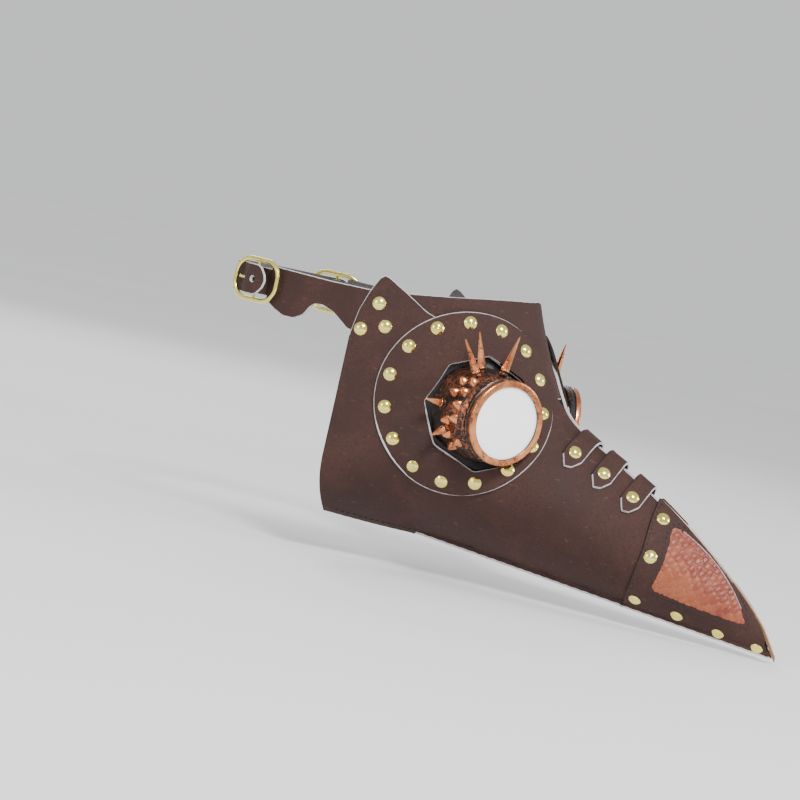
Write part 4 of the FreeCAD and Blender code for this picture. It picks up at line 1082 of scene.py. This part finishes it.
LOOP_WALL = 1.8
BORE = 1.5
around = BORE + LOOP_WALL / 2
tail = []
for forward in (-40.0, -50.0, -60.0):
    spot = on_leather(np.array([forward]), np.array([STRAP_LEVEL]),
                      np.array([-2 * STEP + LOOP_WALL / 2 - 0.3]))[0]
    tail.append(spot[:2])
tail += [plan(6.0, -around - 3.6), plan(2.5, -around - 0.6)]
for turn in range(-90, -361, -30):
    a = math.radians(turn)
    tail.append(plan(around * math.cos(a), around * math.sin(a)))
loop_path = Path(tail)
loop_end = loop_path.length
outline = np.array([(0.0, STRAP_LEVEL - 9.5), (loop_end, STRAP_LEVEL - 9.5),
                    (loop_end, STRAP_LEVEL + 9.5), (0.0, STRAP_LEVEL + 9.5)])
slot = rounded([(loop_end - 12.5, STRAP_LEVEL - 2.4), (loop_end - 3.2, STRAP_LEVEL - 2.4),
                (loop_end - 3.2, STRAP_LEVEL + 2.4), (loop_end - 12.5, STRAP_LEVEL + 2.4)], 1.2)
for label, side in SIDES:
    piece = sheet("leather_buckle_loop_" + label, [outline, slot], loop_path.lay,
                  -LOOP_WALL / 2, LOOP_WALL / 2, [BROWN_STRAP, EDGE, BACKING], side=side,
                  spacing=1.3, edge=0.4)
    finish_piece(piece, "brown_leather", ROOT, "buckle_loop_" + label)


# ------------------------------------------------------------------ stitches
def stitches(name, line, lay, offset, side, pitch=4.2, share=0.62, thick=0.42, within=None):
    """Row of short thread stitches sunk a little at their ends, kept inside an outline."""
    line = np.asarray(line, float)
    at = np.concatenate([[0], np.cumsum(np.linalg.norm(np.diff(line, axis=0), axis=1))])
    points = []
    faces = []
    count = int(at[-1] / pitch)
    for i in range(count):
        start = i * pitch + 0.5 * pitch * (1 - share)
        stops = start + pitch * share * np.linspace(0, 1, 5)
        flat = np.stack([np.interp(stops, at, line[:, k]) for k in (0, 1)], 1)
        if within is not None and not inside(flat, within).all():
            continue
        rise = offset + 0.28 * np.sin(np.linspace(0, math.pi, 5)) - 0.12
        spine = lay(flat, rise)
        heading = np.gradient(spine, axis=0)
        heading /= np.linalg.norm(heading, axis=1, keepdims=True)
        up = lay(flat, rise + 1.0) - spine
        across = np.cross(heading, up)
        first = len(points)
        for j in range(5):
            fat = thick * (0.75 if j in (0, 4) else 1.0)
            for k in range(6):
                a = math.pi * k / 3
                points.append(spine[j] + fat * (math.cos(a) * across[j] + math.sin(a) * up[j]))
        for j in range(4):
            for k in range(6):
                a = first + 6 * j + k
                b = first + 6 * j + (k + 1) % 6
                faces.append((a, b, b + 6, a + 6))
        faces.append(tuple(first + k for k in range(6))[::-1])
        faces.append(tuple(first + 24 + k for k in range(6)))
    points = np.array(points)
    if side > 0:
        points = mirrored(points)
        faces = [tuple(reversed(f)) for f in faces]
    finish_piece(mesh_object(name, points, faces, [THREAD]), "brown_leather", ROOT)


keel_line = pattern([(f, float(keel(f)) + 4.0) for f in np.linspace(6.0, 206.0, 120)])
cap_line = pattern([(f, float(keel(f)) + 4.0) for f in np.linspace(214.0, 312.0, 60)])
cap_loop = turned_left(resampled(cap_edge, 1.5))
cap_inside = inward(cap_loop, 0.9)
hem_line = inward(cap_loop, 2.2)
rear_of_cap = to_forward(hem_line[:, 0], hem_line[:, 1]) < 224
hem_line = hem_line[rear_of_cap & (hem_line[:, 1] > -97)]
hem_line = hem_line[np.argsort(hem_line[:, 1])]
window_line = resampled(window_outline(-2.6), 1.0)
window_line = np.vstack([window_line, window_line[:1]])
for label, side in SIDES:
    stitches("keel_stitches_" + label, keel_line, on_pattern, LEATHER, side)
    stitches("cap_stitches_" + label, cap_line, on_pattern, STEP + LEATHER, side, pitch=3.6)
    stitches("hem_stitches_" + label, hem_line, on_pattern, STEP + LEATHER, side, pitch=3.4,
             within=cap_inside)
    stitches("window_stitches_" + label, window_line, on_pattern, STEP + LEATHER, side,
             pitch=3.4, within=cap_inside)


# ------------------------------------------------------------------ turned metal
def lathe(points, faces, kinds, profile, colours, place, turns=96, closed=True):
    """Revolve (radius, height) corners; place(points) carries local points to the mask."""
    first = len(points)
    angle = 2 * math.pi * np.arange(turns) / turns
    rows = []
    for radius, height in profile:
        rows.append(np.stack([radius * np.cos(angle), radius * np.sin(angle),
                              np.full(turns, height)], 1))
    points.extend(place(np.vstack(rows)))
    last = len(profile) if closed else len(profile) - 1
    for i in range(last):
        j = (i + 1) % len(profile)
        for k in range(turns):
            m = (k + 1) % turns
            faces.append((first + i * turns + k, first + i * turns + m,
                          first + j * turns + m, first + j * turns + k))
            kinds.append(colours[i])


def solid_piece(name, points, faces, kinds, materials, side, flat=False):
    points = np.array(points)
    if side > 0:
        points = mirrored(points)
    piece = mesh_object(name, points, faces, materials, kinds, flat)
    shape = bmesh.new()
    shape.from_mesh(piece.data)
    bmesh.ops.recalc_face_normals(shape, faces=shape.faces)
    shape.to_mesh(piece.data)
    shape.free()
    if not flat:
        sharpen(piece)
    return piece


# (radius, distance behind the front, material of the band that follows)
BEZEL = [(24.7, 0.35, 0), (25.05, 0.0, 0), (28.3, 0.0, 0), (28.9, 0.2, 0), (29.35, 0.75, 0),
         (29.4, 1.4, 0), (29.4, 3.6, 0), (29.2, 4.0, 1), (28.2, 4.35, 1), (28.2, 6.3, 1),
         (28.9, 6.8, 2), (29.35, 7.1, 2), (29.3, 7.6, 2), (28.1, 9.3, 2), (27.8, 9.5, 2),
         (26.3, 9.5, 2), (26.3, 1.6, 1), (24.7, 1.6, 1)]
for label, side in SIDES:
    points, faces, kinds = [], [], []
    lathe(points, faces, kinds, [(r, -t) for r, t, _ in BEZEL], [k for _, _, k in BEZEL],
          on_goggle, turns=128)
    piece = solid_piece("bezel_ring_" + label, points, faces, kinds,
                        [COPPER, BLACK, DARK_COPPER], side)
    finish_piece(piece, "aged_copper", "bezel_" + label, "bezel_" + label)

SPIKES = [(3.0, 17.0, 29.5, -13.0, 29.0), (33.0, 24.0, 30.0, 36.0, 29.0),
          (22.0, 27.0, 30.0, 20.0, 29.0), (86.0, 34.0, 29.5, 86.0, 17.0),
          (114.0, 27.0, 30.0, 122.0, 14.0)]


def radial(turn, radius, back, lean):
    angle = math.radians(turn)
    foot = np.array([-radius * math.sin(angle), radius * math.cos(angle), -back])
    angle = math.radians(lean)
    away = np.array([-math.sin(angle), math.cos(angle), 0.0])
    along_axis = np.array([0.0, 0.0, 1.0])
    sideways = np.cross(away, along_axis)

    def place(points):
        local = (foot + points[:, :1] * along_axis + points[:, 1:2] * sideways
                 + points[:, 2:3] * away)
        return on_goggle(local)
    return place


for label, side in SIDES:
    points, faces, kinds = [], [], []
    for turn, back, radius, lean, length in SPIKES:
        place = radial(turn, radius, back, lean)
        profile = [(0.02, 0.0), (2.9, 0.0), (3.25, 0.6), (3.3, 1.6), (2.9, 2.5), (2.45, 2.8),
                   (2.9, 3.2), (3.25, 3.9), (3.2, 4.6), (2.9, 5.0), (2.85, 5.6)]
        for share in (0.25, 0.5, 0.75, 0.93):
            profile.append((2.85 + (0.45 - 2.85) * share ** 1.08,
                            5.6 + (length - 5.9) * share))
        profile += [(0.36, length - 0.25), (0.02, length)]
        lathe(points, faces, kinds, profile[:10], [1] * 6 + [0] * 4, place, turns=28,
              closed=False)
        lathe(points, faces, kinds, profile[9:], [0] * len(profile), place, turns=7,
              closed=False)
    piece = solid_piece("copper_spikes_" + label, points, faces, kinds,
                        [COPPER, DARK_COPPER], side)
    finish_piece(piece, "aged_copper", ROOT, "spikes_" + label)

STUD_ROWS = [(19.0, (45, 63, 81, 99, 132)), (27.5, (50, 68, 104, 122, 140))]
FLARE = [(11.0, 27.6), (16.0, 30.0), (24.0, 31.2), (47.0, 31.6)]
STUD_HALF, STUD_HEIGHT = 3.3, 4.1
for label, side in SIDES:
    points, faces, kinds = [], [], []
    for back_at, turns in STUD_ROWS:
        for turn in turns:
            place = radial(turn, along(FLARE, back_at), back_at, turn)
            first = len(points)
            for share, rise in ((1.03, -0.6), (0.97, 0.5), (0.62, 2.3), (0.24, 3.9),
                                (0.1, STUD_HEIGHT)):
                half = STUD_HALF * share
                cut = 0.28 * half
                ring = [(half - cut, -half), (half, -half + cut), (half, half - cut),
                        (half - cut, half), (cut - half, half), (-half, half - cut),
                        (-half, cut - half), (cut - half, -half)]
                points.extend(place(np.array([(x, y, rise) for x, y in ring])))
            for j in range(4):
                for k in range(8):
                    a = first + 8 * j + k
                    b = first + 8 * j + (k + 1) % 8
                    faces.append((a, b, b + 8, a + 8))
                    kinds.append(0)
            faces.append(tuple(first + 32 + k for k in range(8)))
            kinds.append(0)
    piece = solid_piece("sleeve_studs_" + label, points, faces, kinds, [COPPER], side)
    finish_piece(piece, "aged_copper", ROOT)

# ------------------------------------------------------------------ carried-over CAD nodes
CARRIED = {"patch_rivets": BRASS, "temple_rivets": BRASS, "bridge_rivets": BRASS,
           "cap_rivets": BRASS, "eyecup": BLACK, "vent_sleeve": DARK_COPPER,
           "lens_seal": RUBBER, "lens": MILKY_PAINTED_GLOW, "buckle_frame": BRASS, "buckle_prong": BRASS}
for stem, finish in CARRIED.items():
    for label, _ in SIDES:
        node = nodes[stem + "_" + label]
        node.data.materials.clear()
        node.data.materials.append(finish)

# ------------------------------------------------------------------ floor, light, camera
FLOOR = -0.1175
floor_finish = Finish("pale floor")
tint = floor_finish.noise(1.3, 3.0, 0.5)
floor_finish.set(colour=floor_finish.ramp(tint, (0.3, 0.76), (0.7, 0.8)), rough=0.8,
                 glow=(1.0, 1.0, 1.0), glow_strength=0.16)
floor_mesh = bmesh.new()
bmesh.ops.create_circle(floor_mesh, cap_ends=True, segments=96, radius=14.0)
mesh = bpy.data.meshes.new("floor")
floor_mesh.to_mesh(mesh)
floor_mesh.free()
mesh.materials.append(floor_finish.material)
floor = bpy.data.objects.new("floor", mesh)
floor.location.z = FLOOR
bpy.context.scene.collection.objects.link(floor)

world = bpy.data.worlds.new("studio")
world.use_nodes = True
world.node_tree.nodes["Background"].inputs["Color"].default_value = (0.93, 0.94, 0.96, 1)
world.node_tree.nodes["Background"].inputs["Strength"].default_value = 0.8
bpy.context.scene.world = world


def area_light(name, place, aim, width, power, colour=(1, 1, 1)):
    data = bpy.data.lights.new(name, "AREA")
    data.shape = "DISK"
    data.size = width
    data.energy = power
    data.color = colour
    lamp = bpy.data.objects.new(name, data)
    lamp.location = place
    lamp.rotation_euler = (Vector(aim) - Vector(place)).to_track_quat("-Z", "Y").to_euler()
    bpy.context.scene.collection.objects.link(lamp)


AIM = (0.0, -0.12, -0.02)
area_light("key", (-1.3, -1.1, 1.5), AIM, 0.6, 48.0)
area_light("fill", (-1.7, 0.9, 0.5), AIM, 0.8, 8.0)
area_light("front", (0.5, -1.9, 0.6), AIM, 0.6, 12.0)
area_light("back", (1.6, 1.0, 1.2), AIM, 0.8, 14.0)

VIEW_TURN = math.radians(19.84)
VIEW_DIP = math.radians(3.0)
ROLL = math.radians(12.87)
DISTANCE = 2.0
SENSOR, FOCAL = 36.0, 134.532
AIM_RIGHT, AIM_UP = -71.849, 16.056     # the picture's middle from the goggle's foot, in mm
screen_f = np.array([math.sin(VIEW_TURN), -math.cos(VIEW_TURN), 0.0])
back = np.array([-math.cos(VIEW_TURN) * math.cos(VIEW_DIP),
                 -math.sin(VIEW_TURN) * math.cos(VIEW_DIP), math.sin(VIEW_DIP)])
screen_z = np.cross(back, screen_f)
right = math.cos(ROLL) * screen_f + math.sin(ROLL) * screen_z
up = -math.sin(ROLL) * screen_f + math.cos(ROLL) * screen_z
target = GOGGLE_FOOT + AIM_RIGHT * right + AIM_UP * up
camera_data = bpy.data.cameras.new("camera")
camera_data.sensor_width = SENSOR
camera_data.lens = FOCAL
camera_data.clip_start = 0.05
camera_data.clip_end = 60.0
camera = bpy.data.objects.new("camera", camera_data)
spot = target * MM + back * DISTANCE
camera.matrix_world = Matrix(((right[0], up[0], back[0], spot[0]),
                              (right[1], up[1], back[1], spot[1]),
                              (right[2], up[2], back[2], spot[2]), (0, 0, 0, 1)))
bpy.context.scene.collection.objects.link(camera)
bpy.context.scene.camera = camera
